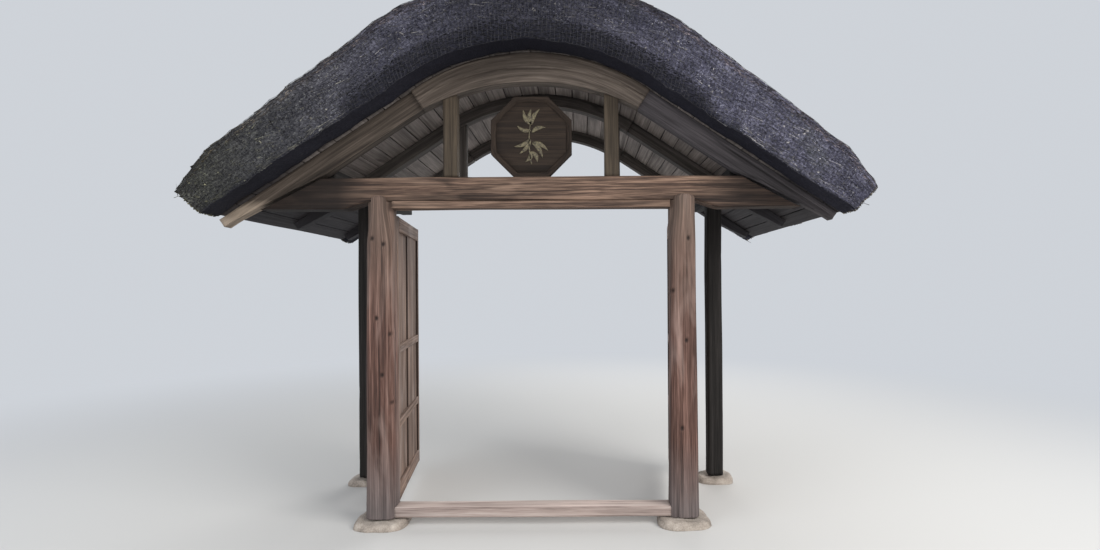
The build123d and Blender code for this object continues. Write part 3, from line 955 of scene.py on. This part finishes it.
# %% Thatch body
OUTER, VERGE, CUT, UNDER, LIP, RIM = 0.0, 1.0, 2.0, 3.0, 4.0, -1.0
HALF_COLUMNS, BODY_ROWS, LAYERS, CUT_LAYERS = 100, 78, 13, 8
LIP_REACH, LIP_FADE, LIP_HEIGHT, LIP_BLEND = 1.10, 0.12, 0.34, 0.16
RIM_HEIGHT, EDGE_HEIGHT = 0.84, 0.06
UNDER_SHADE, LIP_SHADE = 0.9, 0.92
SEAM = 0.0005
top_grid, low_grid = skin_grids(HALF_COLUMNS, BODY_ROWS)
sides = [(top_grid, OUTER), (low_grid, UNDER)]
sides += [(between(low_grid[end], top_grid[end], LAYERS), VERGE) for end in (0, -1)]
sides += [(between(low_grid[:, end], top_grid[:, end], CUT_LAYERS), CUT) for end in (0, -1)]
points, faces, zones, heights, shades = [], [], [], [], []
for grid, zone in sides:
    faces.append(grid_faces(grid, sum(len(block) for block in points)))
    points.append(grid.reshape(-1, 3))
    kinds, height = np.full(grid.shape[:2], zone), np.ones(grid.shape[:2])
    shade = np.full(grid.shape[:2], UNDER_SHADE if zone == UNDER else 0.0)
    if zone == VERGE:
        height *= np.linspace(0.0, 1.0, LAYERS)[:, None]
        lip = climb(height, LIP_HEIGHT, -LIP_BLEND)
        lip = lip * climb(np.abs(grid[..., 0]), LIP_REACH, -LIP_FADE)
        shade = np.maximum(LIP_SHADE * lip, UNDER_SHADE * climb(height, EDGE_HEIGHT, -EDGE_HEIGHT))
        kinds[lip > 0.4], kinds[height > RIM_HEIGHT] = LIP, RIM
    zones.append(kinds[:-1, :-1].ravel())
    heights.append(height.ravel())
    shades.append(shade.ravel())
thatch = mesh_object("thatch_body", np.concatenate(points), faces)
store(thatch, "zone", np.concatenate(zones), "FACE")
store(thatch, "height", np.concatenate(heights))
store(thatch, "shade", np.concatenate(shades))
face_outwards(thatch.data, merge=SEAM)
place = read(thatch, "position")
side = np.where(place[:, 0] < 0, -1.0, 1.0)
slope = np.minimum(np.abs(np.arctan2(place[:, 0], place[:, 2] - crown_centre)), FLANK)
slope = np.where(np.abs(place[:, 0]) > CROWN_RADIUS * 0.75, FLANK, slope)
run = np.hypot(place[:, 0], place[:, 2] - crown_top) * side
layer = place[:, 2] + np.abs(place[:, 0]) * tan(FLANK)
store(thatch, "grain", np.column_stack([run, place[:, 1], layer]))
store(thatch, "flow", np.column_stack([side * np.cos(slope), np.zeros(len(slope)), -np.sin(slope)]))
store(thatch, "position", lumps(place))
print("thatch body", len(thatch.data.polygons), "faces")

# %% [markdown]
# Old thatch is nearly black in its depth and grey on its skin, with a violet cast from the
# sky, paler only where stalks have been rubbed bare. A photograph of straw would repeat, so
# the material mixes stretched noise along the reeds with a fine speckle of cut stalks, lets a
# little moss grow, and paints shade over the crown, the underside and the lip.

# %% Thatch materials
# The last colour is painted shade, nearly black, for the underside and the lip
MOSS, FLECK, THATCH_SHADE = (0.045, 0.055, 0.022), (0.200, 0.195, 0.215), (0.013, 0.013, 0.020)


def crown_shade_and_moss(tree):
    """Painted shade, darker towards the crown and towards the shady left eave, where it turns a mossy
    brown.
    """
    across = add(tree, "ShaderNodeSeparateXYZ", Vector=place_of(tree)).outputs["X"]
    return ramp(
        tree, compute(tree, "MULTIPLY_ADD", across, 0.25, 0.5),
        (0.04, (0.56, 0.57, 0.36)), (0.20, (0.80, 0.80, 0.66)), (0.30, (0.84, 0.84, 0.80)),
        (0.46, (0.40, 0.40, 0.39)), (0.54, (0.40, 0.40, 0.39)), (0.75, 1.0),
    )


def thatch_skin(name, dark, middle, light):
    """Dark bound straw with paler stalks and thin moss."""
    material, tree, shader = new_material(name)
    grain, place = reading(tree, "grain", "Vector"), place_of(tree)
    stalks = mottle(tree, grain, (16.0, 170.0, 170.0), 4.0, 0.5, 0.65)
    both = weigh(tree, stalks, 0.4, mottle(tree, place, 75.0, 3.0, 0.3, 0.6))
    bundles = mottle(tree, grain, (2.2, 7.0, 9.0), 4.0, 0.6)
    colour = ramp(tree, both, (0.38, dark), (0.50, middle), (0.66, light))
    shade = ramp(tree, bundles, (0.32, (0.55, 0.55, 0.58)), (0.68, (1.35, 1.33, 1.30)))
    colour = mix(tree, 1.0, colour, shade, "MULTIPLY")
    colour = mix(tree, excess(tree, mottle(tree, place, 3.1, 6.0, 0.3, 0.7), 0.58, 2.4), colour, MOSS)
    colour = mix(tree, excess(tree, mottle(tree, place, 34.0, 2.0), 0.68, 9.0), colour, FLECK)
    colour = mix(tree, 1.0, colour, crown_shade_and_moss(tree), "MULTIPLY")
    colour = mix(tree, reading(tree, "shade"), colour, THATCH_SHADE)
    paint(tree, shader, colour, 0.92, both, 0.9, 0.012, gloss=0.15)
    return material


def stalk_material(name, dark, middle, light):
    """Single stalks; each has its own tint, few are pale, and whole bundles are darker."""
    material, tree, shader = new_material(name)
    bundles = mottle(tree, place_of(tree), 7.0, 4.0, 0.6)
    colour = ramp(tree, reading(tree, "tint"), (0.0, dark), (0.70, middle), (1.0, light))
    shade = ramp(tree, bundles, (0.38, (0.40, 0.40, 0.42)), (0.62, (1.45, 1.43, 1.40)))
    colour = mix(tree, 1.0, colour, shade, "MULTIPLY")
    colour = mix(tree, 1.0, colour, crown_shade_and_moss(tree), "MULTIPLY")
    paint(tree, shader, colour, 0.85, gloss=0.2)
    return material


# %% Colours of old straw
thatch_dark = thatch_skin(
    "thatch_dark", (0.014, 0.013, 0.022), (0.060, 0.060, 0.088), (0.165, 0.165, 0.225),
)
grey, brown, pale, dark, eave = (stalk_material("stalks_" + name, *colours) for name, *colours in (
    ("grey", (0.030, 0.030, 0.048), (0.092, 0.094, 0.132), (0.235, 0.238, 0.285)),
    ("brown", (0.024, 0.020, 0.026), (0.098, 0.082, 0.092), (0.320, 0.275, 0.295)),
    ("pale", (0.050, 0.050, 0.058), (0.150, 0.145, 0.155), (0.380, 0.365, 0.365)),
    ("dark", (0.006, 0.006, 0.009), (0.018, 0.018, 0.025), (0.060, 0.058, 0.070)),
    ("eave", (0.030, 0.028, 0.028), (0.120, 0.108, 0.095), (0.330, 0.290, 0.235)),
))
dress(thatch, thatch_dark, "thatch", "thatch_crown", "thatch_left", "thatch_right")

# %% [markdown]
# Loose stalks break the skin everywhere. They repeat tens of thousands of times; hair would
# be lost in the export, so a Geometry Nodes tree scatters them: it spreads points on the
# faces of one zone, lays a thin three-sided spike on each along the reeds' direction, pressed
# to the surface with some disorder, and realizes them into a plain mesh with a tint for each.

# %% Geometry trees
def open_tree(name, inputs):
    """New geometry tree with named inputs, and the outputs of its input node."""
    tree = bpy.data.node_groups.new(name, "GeometryNodeTree")
    tree.interface.new_socket("Geometry", in_out="INPUT", socket_type="NodeSocketGeometry")
    for key, value in inputs.items():
        kind = "NodeSocketInt" if isinstance(value, int) else "NodeSocketFloat"
        tree.interface.new_socket(key, in_out="INPUT", socket_type=kind).default_value = value
    tree.interface.new_socket("Geometry", in_out="OUTPUT", socket_type="NodeSocketGeometry")
    return tree, add(tree, "NodeGroupInput").outputs


def close_tree(tree, geometry, material):
    """Ends a tree with plain meshes in place of instances, and their material."""
    real = add(tree, "GeometryNodeRealizeInstances", Geometry=geometry)
    painted = add(tree, "GeometryNodeSetMaterial", Geometry=real.outputs[0], Material=material)
    add(tree, "NodeGroupOutput", i0=painted.outputs[0])
    return tree


def named(tree, name, kind="FLOAT"):
    """Output of a named attribute of the geometry."""
    return add(tree, "GeometryNodeInputNamedAttribute", {"data_type": kind}, Name=name).outputs[0]


def vector(tree, operation, first, output=0, **links):
    """Vector arithmetic."""
    return add(tree, "ShaderNodeVectorMath", {"operation": operation}, i0=first, **links).outputs[output]


# %% Running a tree
def run_tree(name, source, tree, values):
    """Runs a tree on a copy of the source and keeps the result as a plain mesh."""
    carrier = link(name + "_carrier", source.data.copy())
    modifier = carrier.modifiers.new("tree", "NODES")
    modifier.node_group = tree
    for item in tree.interface.items_tree:
        if item.item_type == "SOCKET" and item.in_out == "INPUT" and item.name in values:
            modifier[item.identifier] = values[item.name]
    graph = bpy.context.evaluated_depsgraph_get()
    graph.update()
    mesh = bpy.data.meshes.new_from_object(carrier.evaluated_get(graph))
    mesh.name = name
    bpy.data.objects.remove(carrier)
    return link(name, mesh)


# %% Stalk tree
STALK = {
    "Density": 1000.0, "Length": 0.12, "Radius": 0.002, "Disorder": 0.12, "Flatten": 0.9,
    "Zone": OUTER, "Highest": 2.0, "Seed": 1,
}


def stalk_tree(name, material):
    """Tree that scatters stalks over the faces of one zone of the thatch."""
    tree, into = open_tree(name, STALK)
    seed, length = into["Seed"], into["Length"]
    same = compute(tree, "COMPARE", named(tree, "zone"), into["Zone"], 0.3)
    low = compute(tree, "LESS_THAN", named(tree, "height"), into["Highest"])
    spread = add(
        tree, "GeometryNodeDistributePointsOnFaces", {"distribute_method": "RANDOM"}, Seed=seed,
        Mesh=into["Geometry"], Selection=compute(tree, "MULTIPLY", same, low), Density=into["Density"],
    )
    wander, size = (
        add(tree, "FunctionNodeRandomValue", {"data_type": "FLOAT_VECTOR"}, i0=least, i1=most, Seed=seed)
        for least, most in (((-1.0, -1.0, -1.0), (1.0, 1.0, 1.0)), ((0.6, 0.6, 0.35), (1.3, 1.3, 1.2)))
    )
    disorder = vector(tree, "SCALE", wander.outputs[0], Scale=into["Disorder"])
    aim = vector(tree, "ADD", named(tree, "flow", "FLOAT_VECTOR"), i1=disorder)
    normal = spread.outputs["Normal"]
    rise = compute(tree, "MULTIPLY", vector(tree, "DOT_PRODUCT", aim, "Value", i1=normal), into["Flatten"])
    aim = vector(tree, "SUBTRACT", aim, i1=vector(tree, "SCALE", normal, Scale=rise))
    turn = add(tree, "FunctionNodeAlignRotationToVector", {"axis": "Z"}, Vector=aim)
    spike = add(
        tree, "GeometryNodeMeshCone", {"fill_type": "NGON"}, Vertices=3, Side_Segments=1,
        Radius_Top=into["Radius"], Radius_Bottom=0.0, Depth=length,
    )
    half = add(tree, "ShaderNodeCombineXYZ", Z=compute(tree, "MULTIPLY", length, -0.5))
    stalk = add(
        tree, "GeometryNodeTransform", Geometry=spike.outputs["Mesh"], Translation=half.outputs[0],
    )
    stand = add(
        tree, "GeometryNodeInstanceOnPoints", Points=spread.outputs["Points"],
        Instance=stalk.outputs[0], Rotation=turn.outputs[0], Scale=size.outputs[0],
    )
    tint = add(tree, "FunctionNodeRandomValue", {"data_type": "FLOAT"}, i2=0.0, i3=1.0, Seed=seed)
    keep = add(
        tree, "GeometryNodeStoreNamedAttribute", {"data_type": "FLOAT", "domain": "INSTANCE"},
        Geometry=stand.outputs[0], Name="tint", Value=tint.outputs[1],
    )
    return close_tree(tree, keep.outputs[0], material)


print("a stalk tree has the inputs", *STALK)

# %% Stalks
# Each row gives a name, a finish and the tree's inputs in their order
for name, material, *inputs in (
    ("thatch_skin_stalks", brown, 2000.0, 0.10, 0.0029, 0.14, 0.96, OUTER, 2.0, 11),
    ("thatch_verge_stalks", grey, 9500.0, 0.014, 0.0028, 0.9, 0.8, VERGE, 2.0, 12),
    ("thatch_rim_stalks", brown, 9000.0, 0.034, 0.0027, 0.25, 0.92, RIM, 2.0, 15),
    ("thatch_verge_strands", pale, 1700.0, 0.13, 0.0022, 0.10, 0.97, VERGE, 0.16, 14),
    # The lip's stalks are nearly black: painted shade, like the lip under them
    ("thatch_lip_stalks", dark, 9500.0, 0.028, 0.0032, 0.5, 0.8, LIP, 2.0, 16),
    ("thatch_verge_wisps", pale, 420.0, 0.11, 0.0018, 0.30, 0.97, VERGE, 2.0, 17),
    ("thatch_verge_chips", pale, 300.0, 0.015, 0.0060, 0.9, 0.9, VERGE, 2.0, 18),
    ("thatch_eave_stalks", eave, 26000.0, 0.022, 0.0034, 0.12, 0.0, CUT, 2.0, 13),
):
    stalks = run_tree(name, thatch, stalk_tree(name, material), dict(zip(STALK, inputs)))
    dress(stalks, material, "thatch")

# %% [markdown]
# A fine black net holds the thatch against wind and birds. It hugs the outer skin and turns
# over the verges, where its cells are closest to the eye. A see-through texture would lie
# flat on the skin, so the net is the edges of a grid laid over the same lumps as the thatch,
# each edge swept into a three-sided thread by a second tree.

# %% Net over the thatch
NET_CELL, VERGE_CELL = 0.044, 0.024
THREAD = 0.0009
NET_LIFT, WOBBLE_CELL = 0.0035, 0.045
TOP_WOBBLE, VERGE_WOBBLE = 0.006, 0.008

net_black, _ = mottled(
    "net_black", 9.0, 2.0, 0.0, 0.55, 0.5, (), (0.3, (0.010, 0.010, 0.013)), (0.7, (0.030, 0.030, 0.036)),
)
net_tree, into = open_tree("net_threads", {"Thread": THREAD})
lines = add(net_tree, "GeometryNodeMeshToCurve", Mesh=into["Geometry"])
profile = add(net_tree, "GeometryNodeCurvePrimitiveCircle", Resolution=3, Radius=into["Thread"])
threads = add(
    net_tree, "GeometryNodeCurveToMesh", Curve=lines.outputs[0], Profile_Curve=profile.outputs[0],
    Fill_Caps=True,
)
close_tree(net_tree, threads.outputs[0], net_black)


def lay_net(name, grid, wobble, seed):
    """Lays a net along a grid of points of the thatch, just outside its lumps."""
    place = lumps(grid)
    outward = np.cross(np.gradient(place, axis=1), np.gradient(place, axis=0))
    outward /= np.linalg.norm(outward, axis=-1)[..., None]
    away = place - (0.0, 0.0, crown_centre)
    outward *= np.where(np.sum(outward * away, axis=-1) < 0, -1.0, 1.0)[..., None]
    place = place + outward * NET_LIFT
    for axis in range(3):
        place[..., axis] += wobble * noise(grid, WOBBLE_CELL, seed + axis)
    sheet = mesh_object(name + "_sheet", place.reshape(-1, 3), [grid_faces(grid)])
    net = run_tree(name, sheet, net_tree, {"Thread": THREAD})
    bpy.data.objects.remove(sheet)
    dress(net, net_black, "thatch")


over_length = float(np.linalg.norm(np.diff(whole_line(outer_line(200)), axis=0), axis=1).sum())
net_top, _ = skin_grids(int(over_length / NET_CELL / 2), int(2 * verge_y / NET_CELL))
lay_net("thatch_net", net_top, TOP_WOBBLE, 740)
net_over, net_under = skin_grids(int(over_length / VERGE_CELL / 2), 8)
for hand, row in (("front", 0), ("rear", -1)):
    verge_net = between(net_under[row], net_over[row], int(THATCH / VERGE_CELL) + 1)
    lay_net("thatch_net_" + hand, verge_net, VERGE_WOBBLE, 750)

# %% [markdown]
# Each leaf hangs open behind its post: two stiles, four rails let in between them, and two
# wide boards nailed behind the rails. The boards are old and uneven, with a dark gap between
# them. A leaf is drawn in the construction model already turned open, and turning an object
# would leave a rotation on it, so the bars are placed from the hinge's position and angle.

# %% Leaves
OPEN_ANGLE = radians(98)
EDGE_GAP, LEAF_END, STILE = 0.016, 0.866, 0.048
LEAF_THICK, RAIL_THICK = 0.036, 0.022
JOINT_GAP = 0.004
# Heights of the lower rails above the leaf's foot, and the height of the top rail
LOWER_RAILS, TOP_RAIL = ((0.0, 0.092), (0.454, 0.508), (0.930, 0.984)), 0.090
# The second board is cupped: further in at its front and at its back
CUPPED_FRONT, CUPPED_BACK = 0.009, 0.006
inner = (EDGE_GAP + STILE, LEAF_END - STILE)
middle = sum(inner) / 2
front, back = -LEAF_THICK / 2, LEAF_THICK / 2
rail_back = front + RAIL_THICK


def leaf_bar(hinge, span, depths, heights, standing, seed):
    """Bar of a leaf between two distances from the pivot, two depths and two heights."""
    pivot, along, behind = hinge
    middle = pivot + behind * sum(depths) / 2
    width, thick = span[1] - span[0], depths[1] - depths[0]
    if standing:
        centre = middle + along * sum(span) / 2
        foot, head = (centre + AXES[2] * height for height in heights)
        return timber("bar", foot, head, along, behind, width, thick, 0.004, seed, 0.009, 0.05)
    level = AXES[2] * sum(heights) / 2
    start, end = (middle + along * reach + level for reach in span)
    tall = heights[1] - heights[0]
    return timber("bar", start, end, behind, AXES[2], thick, tall, 0.004, seed, 0.007, 0.02)


print("a leaf is", LEAF_END - EDGE_GAP, "m wide and", LEAF_THICK, "m thick")


# %% Two leaves
for hand, mirror, shift in (("left", 1.0, 0), ("right", -1.0, 40)):
    body = "leaf_" + hand
    joint = next(joint for joint in frame["joints"] if joint["child"] == body)
    pivot = np.array(joint["pos_m"], dtype=float) * (1.0, 1.0, 0.0)
    along = np.array((mirror * cos(OPEN_ANGLE), sin(OPEN_ANGLE), 0.0))
    hinge = (pivot, along, np.array((-mirror * sin(OPEN_ANGLE), cos(OPEN_ANGLE), 0.0)))
    (_, _, foot), (_, _, head), _ = box_of(body + "_stiles")
    rail_heights = [(foot + low, foot + high) for low, high in LOWER_RAILS]
    rail_heights.append((head - TOP_RAIL, head))
    bars = {
        "stiles": [((EDGE_GAP, inner[0]), (front, back)), ((inner[1], LEAF_END), (front, back))],
        "rails": [(inner, (front, rail_back))] * len(rail_heights),
        "boards": [
            ((inner[0] + JOINT_GAP, middle - JOINT_GAP), (rail_back, back)),
            (
                (middle + JOINT_GAP, inner[1] - JOINT_GAP),
                (rail_back - CUPPED_FRONT, back - CUPPED_BACK),
            ),
        ],
    }
    for kind, first_seed, wave in (("stiles", 70, 0.001), ("rails", 74, 0.001), ("boards", 80, 0.002)):
        pieces = []
        for number, (span, depths) in enumerate(bars[kind]):
            heights = rail_heights[number] if kind == "rails" else (foot, head)
            piece = leaf_bar(hinge, span, depths, heights, kind != "rails", first_seed + number + shift)
            weather(piece, wave, 0.0006, 0.0022, 900 + shift + 10 * number + len(kind))
            if number == 1 and kind != "rails":
                # The edge that faces the pivot gets painted shadow, for the gap beside it
                across = read(piece, "grain")[:, 1]
                paint_shade(piece, across < across.min() + 0.0015)
            pieces.append(piece)
        node = body + "_" + kind
        dress(join(node + "_wood", pieces), leaf_wood, "leaf_timber", node, body=body)

# %% [markdown]
# The hooks and eyes are hand-forged iron, nearly black and a little rusty. Their shapes in
# the construction model are right, so they keep it and only get their material.

# %% Iron
iron, shader = mottled(
    "forged_iron", 60.0, 5.0, 0.4, 0.55, 0.6, (0.4, 0.001),
    (0.4, (0.020, 0.018, 0.017)), (0.62, (0.050, 0.030, 0.020)),
)
shader.inputs["Metallic"].default_value = 0.6
for name in ("hinge_hooks", "leaf_left_hinge_eyes", "leaf_right_hinge_eyes"):
    frame["nodes"][name].data.materials.clear()
    frame["nodes"][name].data.materials.append(iron)
    print(name, "is iron")

# %% [markdown]
# The posts stand on low natural stones. A subdivided cube would look cast, so a stone is a
# flattened dome: a disc of rings whose outline follows a rounded square, pushed about by
# noise at three scales so that no side is straight, and flat where it meets the ground.

# %% Stones
SQUARENESS, TOP_NARROWER = 3.2, 0.16
STONE_POINTS, STONE_RINGS = 72, 16
# The noise that pushes a stone's skin about, depth and cell, and how far it is drawn in
SKIN_NOISE, DRAWN_IN = ((0.010, 0.12), (0.004, 0.04), (0.0015, 0.012)), 0.010
stone_grey, tree, shader = new_material("stone_grey")
grit = mottle(tree, place_of(tree), 140.0, 5.0, 0.0, 0.7)
both = weigh(tree, grit, 0.45, mottle(tree, place_of(tree), 9.0, 5.0, 0.5, 0.6))
colour = ramp(
    tree, both, (0.36, (0.150, 0.128, 0.108)), (0.5, (0.330, 0.285, 0.245)), (0.66, (0.500, 0.445, 0.390)),
)
paint(tree, shader, colour, 0.9, grit, 0.5, 0.003)


def stone(node, seed):
    """Flat natural stone that fills a node's box."""
    low, high, size = box_of(node)
    angle = np.linspace(0, 2 * pi, STONE_POINTS, endpoint=False)
    round_points = np.column_stack([np.cos(angle), np.sin(angle)])
    reach = (np.abs(round_points) ** SQUARENESS).sum(axis=1) ** (-1 / SQUARENESS)
    rim = round_points * reach[:, None] * size[:2] / 2
    middle = (low + high)[:2] / 2
    rings = [
        np.insert(rim * (1.0 - TOP_NARROWER * share**3) + middle, 2, low[2] + size[2] * share, axis=1)
        for share in np.linspace(0.0, 1.0, STONE_RINGS)
    ]
    piece = ring_mesh(node + "_rock", rings, rings)
    place = read(piece, "position")
    push = -DRAWN_IN
    for number, (depth, cell) in enumerate(SKIN_NOISE):
        push = push + depth * noise(place, cell, seed + number)
    moved = place + read(piece, "normal") * push[:, None]
    moved[:, 2] = np.where(place[:, 2] < low[2] + 1e-4, low[2], np.maximum(moved[:, 2], low[2]))
    store(piece, "position", moved)
    dress(piece, stone_grey, "base_stone", node)


for number, row in enumerate(("main_stone_", "rear_stone_")):
    stone(row + "left", 800 + 10 * number)
    stone(row + "right", 805 + 10 * number)

# %% [markdown]
# The eight-sided board between the struts has a raised rim. Lettering is left off it: a
# sprig of bamboo leaves, a common garden motif, stands there instead. It could be a painted
# mask, but a thin raised layer in worn green gold catches the light as inlay does.

# %% Eight-sided board
board_lo, board_hi, board_size = box_of("plaque_board")
rim_lo, _, rim_size = box_of("plaque_rim")
centre_x, _, centre_z = (board_lo + board_hi) / 2
RIM_WIDTH = 0.034
# The rim's section: share of its width inwards and share of its depth backwards
MOULDING = (
    (0.0, 1.0), (0.0, 0.06), (0.06, 0.0), (0.45, 0.0), (0.62, 0.10), (0.9, 0.22), (1.0, 0.30), (1.0, 1.0),
)


def octagon(across_flats, per_side):
    """Outline of an octagon with a flat top."""
    turns = pi / 8 + np.arange(8) * pi / 4
    radius = across_flats / 2 / cos(pi / 8)
    return outline(np.column_stack([np.cos(turns), np.sin(turns)]) * radius, per_side)


def on_board(flat, depth):
    """Places points of the board's face in the scene, at a depth."""
    return np.insert(flat + (centre_x, centre_z), 1, depth, axis=1)


print("board", round(board_size[0], 3), "m across")


# %% Board and rim
flat = octagon(board_size[0], 10)
rings = np.array([
    on_board(flat * spread, depth)
    for depth, spread in ((board_hi[1], 1.0), (board_lo[1] + 0.002, 1.0), (board_lo[1], 0.995))
])
panel = ring_mesh("plaque_panel_wood", rings, rings + 11.0)
weather(panel, 0.0004, 0.0003, 0.0010, 951)
dress(panel, plaque_wood, "plaque_wood", "plaque_board")

outer, within = octagon(rim_size[0], 12), octagon(rim_size[0] - 2 * RIM_WIDTH, 12)
rings = np.stack([
    on_board(outer + (within - outer) * inward, rim_lo[1] + rim_size[1] * depth)
    for inward, depth in MOULDING
], axis=1)
index = np.arange(rings.shape[0] * rings.shape[1]).reshape(rings.shape[:2])
quads = [band(low, high) for low, high in zip(index, np.roll(index, -1, axis=0))]
vertices = rings.reshape(-1, 3)
from_centre = vertices[:, [0, 2]] - (centre_x, centre_z)
turn = np.arctan2(from_centre[:, 1], from_centre[:, 0])
grain = np.column_stack([turn * 0.25, np.linalg.norm(from_centre, axis=1), vertices[:, 1]])
rim = mesh_object("plaque_rim_wood", vertices, quads, grain)
rim.data.set_sharp_from_angle(angle=radians(40))
store(rim, "mark", np.zeros(len(vertices)))
dress(rim, plaque_wood, "plaque_wood", "plaque_rim")

# %% Sprig
STEPS = 14
STEM = (0.0, -0.165, 91, 0.260, 0.011)
LEAF_WIDTH, THINNEST, BEND, STAND_OFF = 0.029, 0.04, 0.012, 0.0005
# Leaves of the sprig: foot (across, up), direction in degrees and length, in metres
SPRIG_LEAVES = (
    (0.000, 0.075, 118, 0.105), (0.000, 0.075, 62, 0.110), (0.000, 0.075, 90, 0.100),
    (-0.004, -0.010, 205, 0.110), (-0.004, -0.010, 232, 0.115), (0.004, -0.030, -28, 0.110),
    (0.004, -0.030, -56, 0.115), (0.002, 0.030, 20, 0.090), (-0.002, 0.040, 160, 0.090),
    (0.000, -0.085, 240, 0.075), (0.000, -0.085, -62, 0.075),
)
# A stroke's section: share of its half width and height above the board
STROKE = ((-1, 0.0), (-0.6, 0.0022), (0.6, 0.0022), (1, 0.0))
motif_gold, _ = mottled(
    "motif_gold", 90.0, 5.0, 0.5, 0.7, 0.7, (0.5, 0.002),
    (0.38, (0.030, 0.022, 0.014)), (0.55, (0.105, 0.088, 0.048)), (0.72, (0.190, 0.165, 0.090)),
)
vertices, blocks = [], []
for number, (across, up, degrees, length, width) in enumerate(
    [STEM, *((*leaf, LEAF_WIDTH) for leaf in SPRIG_LEAVES)]
):
    direction = np.array((cos(radians(degrees)), sin(radians(degrees))))
    sideways = np.array((-direction[1], direction[0]))
    for share in np.linspace(0.0, 1.0, STEPS + 1):
        swell = 0.9 - 0.3 * share if number == 0 else sin(pi * share**0.75) ** 0.8
        centre = (across, up) + direction * length * share + sideways * BEND * sin(pi * share)
        for aside, raised in STROKE:
            flat = centre + sideways * aside * width / 2 * max(swell, THINNEST)
            vertices.append(on_board(flat[None], board_lo[1] - STAND_OFF - raised)[0])
    index = (np.arange((STEPS + 1) * 4) + number * (STEPS + 1) * 4).reshape(-1, 4)
    edges = np.stack([index[:-1, 0], index[:-1, 3], index[1:, 3], index[1:, 0]], axis=-1)
    blocks += [grid_faces(index, index[0, 0]), edges, index[[0, -1]]]
dress(mesh_object("plaque_sprig", np.array(vertices), blocks), motif_gold, "plaque_wood")

# %% [markdown]
# The gate is shown on a plain pale floor under soft studio light: a large soft lamp above the
# front right, a weaker one on the left, one in front, one behind for the roof's edge, and an
# even background into which the floor fades. The camera stands where the photograph was
# taken, close to the gate, with a wide lens, a little to the right of the middle.

# %% Floor and background
BACKGROUND, BACKGROUND_STRENGTH = (0.86, 0.90, 0.96, 1.0), 0.72
FADE_START, FADE_END = 2.2, 8.0
FLOOR_RADIUS, FLOOR_SIDES, FLOOR_HEIGHT = 60.0, 96, -0.001
turns = [2 * pi * side / FLOOR_SIDES for side in range(FLOOR_SIDES)]
floor_mesh = bpy.data.meshes.new("floor")
floor_mesh.from_pydata(
    [(FLOOR_RADIUS * cos(turn), FLOOR_RADIUS * sin(turn), FLOOR_HEIGHT) for turn in turns],
    [], [tuple(range(FLOOR_SIDES))],
)
floor = link("floor", floor_mesh)
pale_floor, tree, shader = new_material("pale_floor")
connect(tree, shader, Base_Color=(0.56, 0.555, 0.54, 1.0), Roughness=0.9)
away = vector(tree, "LENGTH", place_of(tree), "Value")
fade = add(
    tree, "ShaderNodeMapRange", {"interpolation_type": "SMOOTHSTEP"}, Value=away,
    From_Min=FADE_START, From_Max=FADE_END,
)
glow = add(tree, "ShaderNodeEmission", Color=BACKGROUND, Strength=BACKGROUND_STRENGTH)
blend = add(
    tree, "ShaderNodeMixShader", i0=fade.outputs[0], i1=shader.outputs[0], i2=glow.outputs[0],
)
connect(tree, tree.nodes["Material Output"], Surface=blend.outputs[0])
floor.data.materials.append(pale_floor)

world = bpy.data.worlds.new("studio")
world.use_nodes = True
connect(
    world.node_tree, world.node_tree.nodes["Background"], Color=BACKGROUND, Strength=BACKGROUND_STRENGTH,
)
bpy.context.scene.world = world
print("the floor fades between", FADE_START, "and", FADE_END, "m from its middle")

# %% Lamps
# Each row gives a name, the lamp's place, what it is aimed at, its size, power and colour
GATE_MIDDLE = (0.0, 0.0, 1.5)
for name, place, target, size, power, colour in (
    ("key", (6.2, -4.8, 5.2), GATE_MIDDLE, 4.5, 590.0, (1.0, 0.97, 0.93)),
    ("fill", (-5.5, -4.5, 3.5), GATE_MIDDLE, 4.0, 140.0, (0.93, 0.96, 1.0)),
    ("front", (0.8, -9.0, 2.6), (0.0, 0.0, 2.2), 4.0, 235.0, (1.0, 0.97, 0.93)),
    ("back", (2.5, 7.5, 5.5), GATE_MIDDLE, 6.0, 330.0, (1.0, 0.98, 0.95)),
):
    data = bpy.data.lights.new(name, "AREA")
    data.shape, data.size, data.energy, data.color = "SQUARE", size, power, colour
    lamp = link(name, data)
    lamp.location = place
    lamp.rotation_mode = "QUATERNION"
    lamp.rotation_quaternion = (Vector(target) - Vector(place)).to_track_quat("-Z", "Y")
    print("lamp", name, power, "W")

# %% Camera
# The photograph is 1100 by 550 pixels, its focal length is 550 of them and its optical
# axis passes through (580, 287)
PHOTO_WIDTH, PHOTO_HEIGHT, FOCAL_PIXELS = 1100.0, 550.0, 550.0
AXIS_X, AXIS_Y = 580.0, 287.0
SENSOR = 36.0
lens = bpy.data.cameras.new("camera")
lens.sensor_width, lens.sensor_fit = SENSOR, "HORIZONTAL"
lens.lens = SENSOR * FOCAL_PIXELS / PHOTO_WIDTH
lens.shift_x = (PHOTO_WIDTH / 2 - AXIS_X) / PHOTO_WIDTH
lens.shift_y = (AXIS_Y - PHOTO_HEIGHT / 2) / PHOTO_WIDTH
camera = link("camera", lens)
camera.location = (0.29, -4.11, 1.42)
camera.rotation_euler = (radians(90.0), radians(0.35), 0.0)
bpy.context.scene.camera = camera
bpy.context.scene.view_settings.view_transform = "Standard"
print("camera lens", round(lens.lens, 2), "mm")
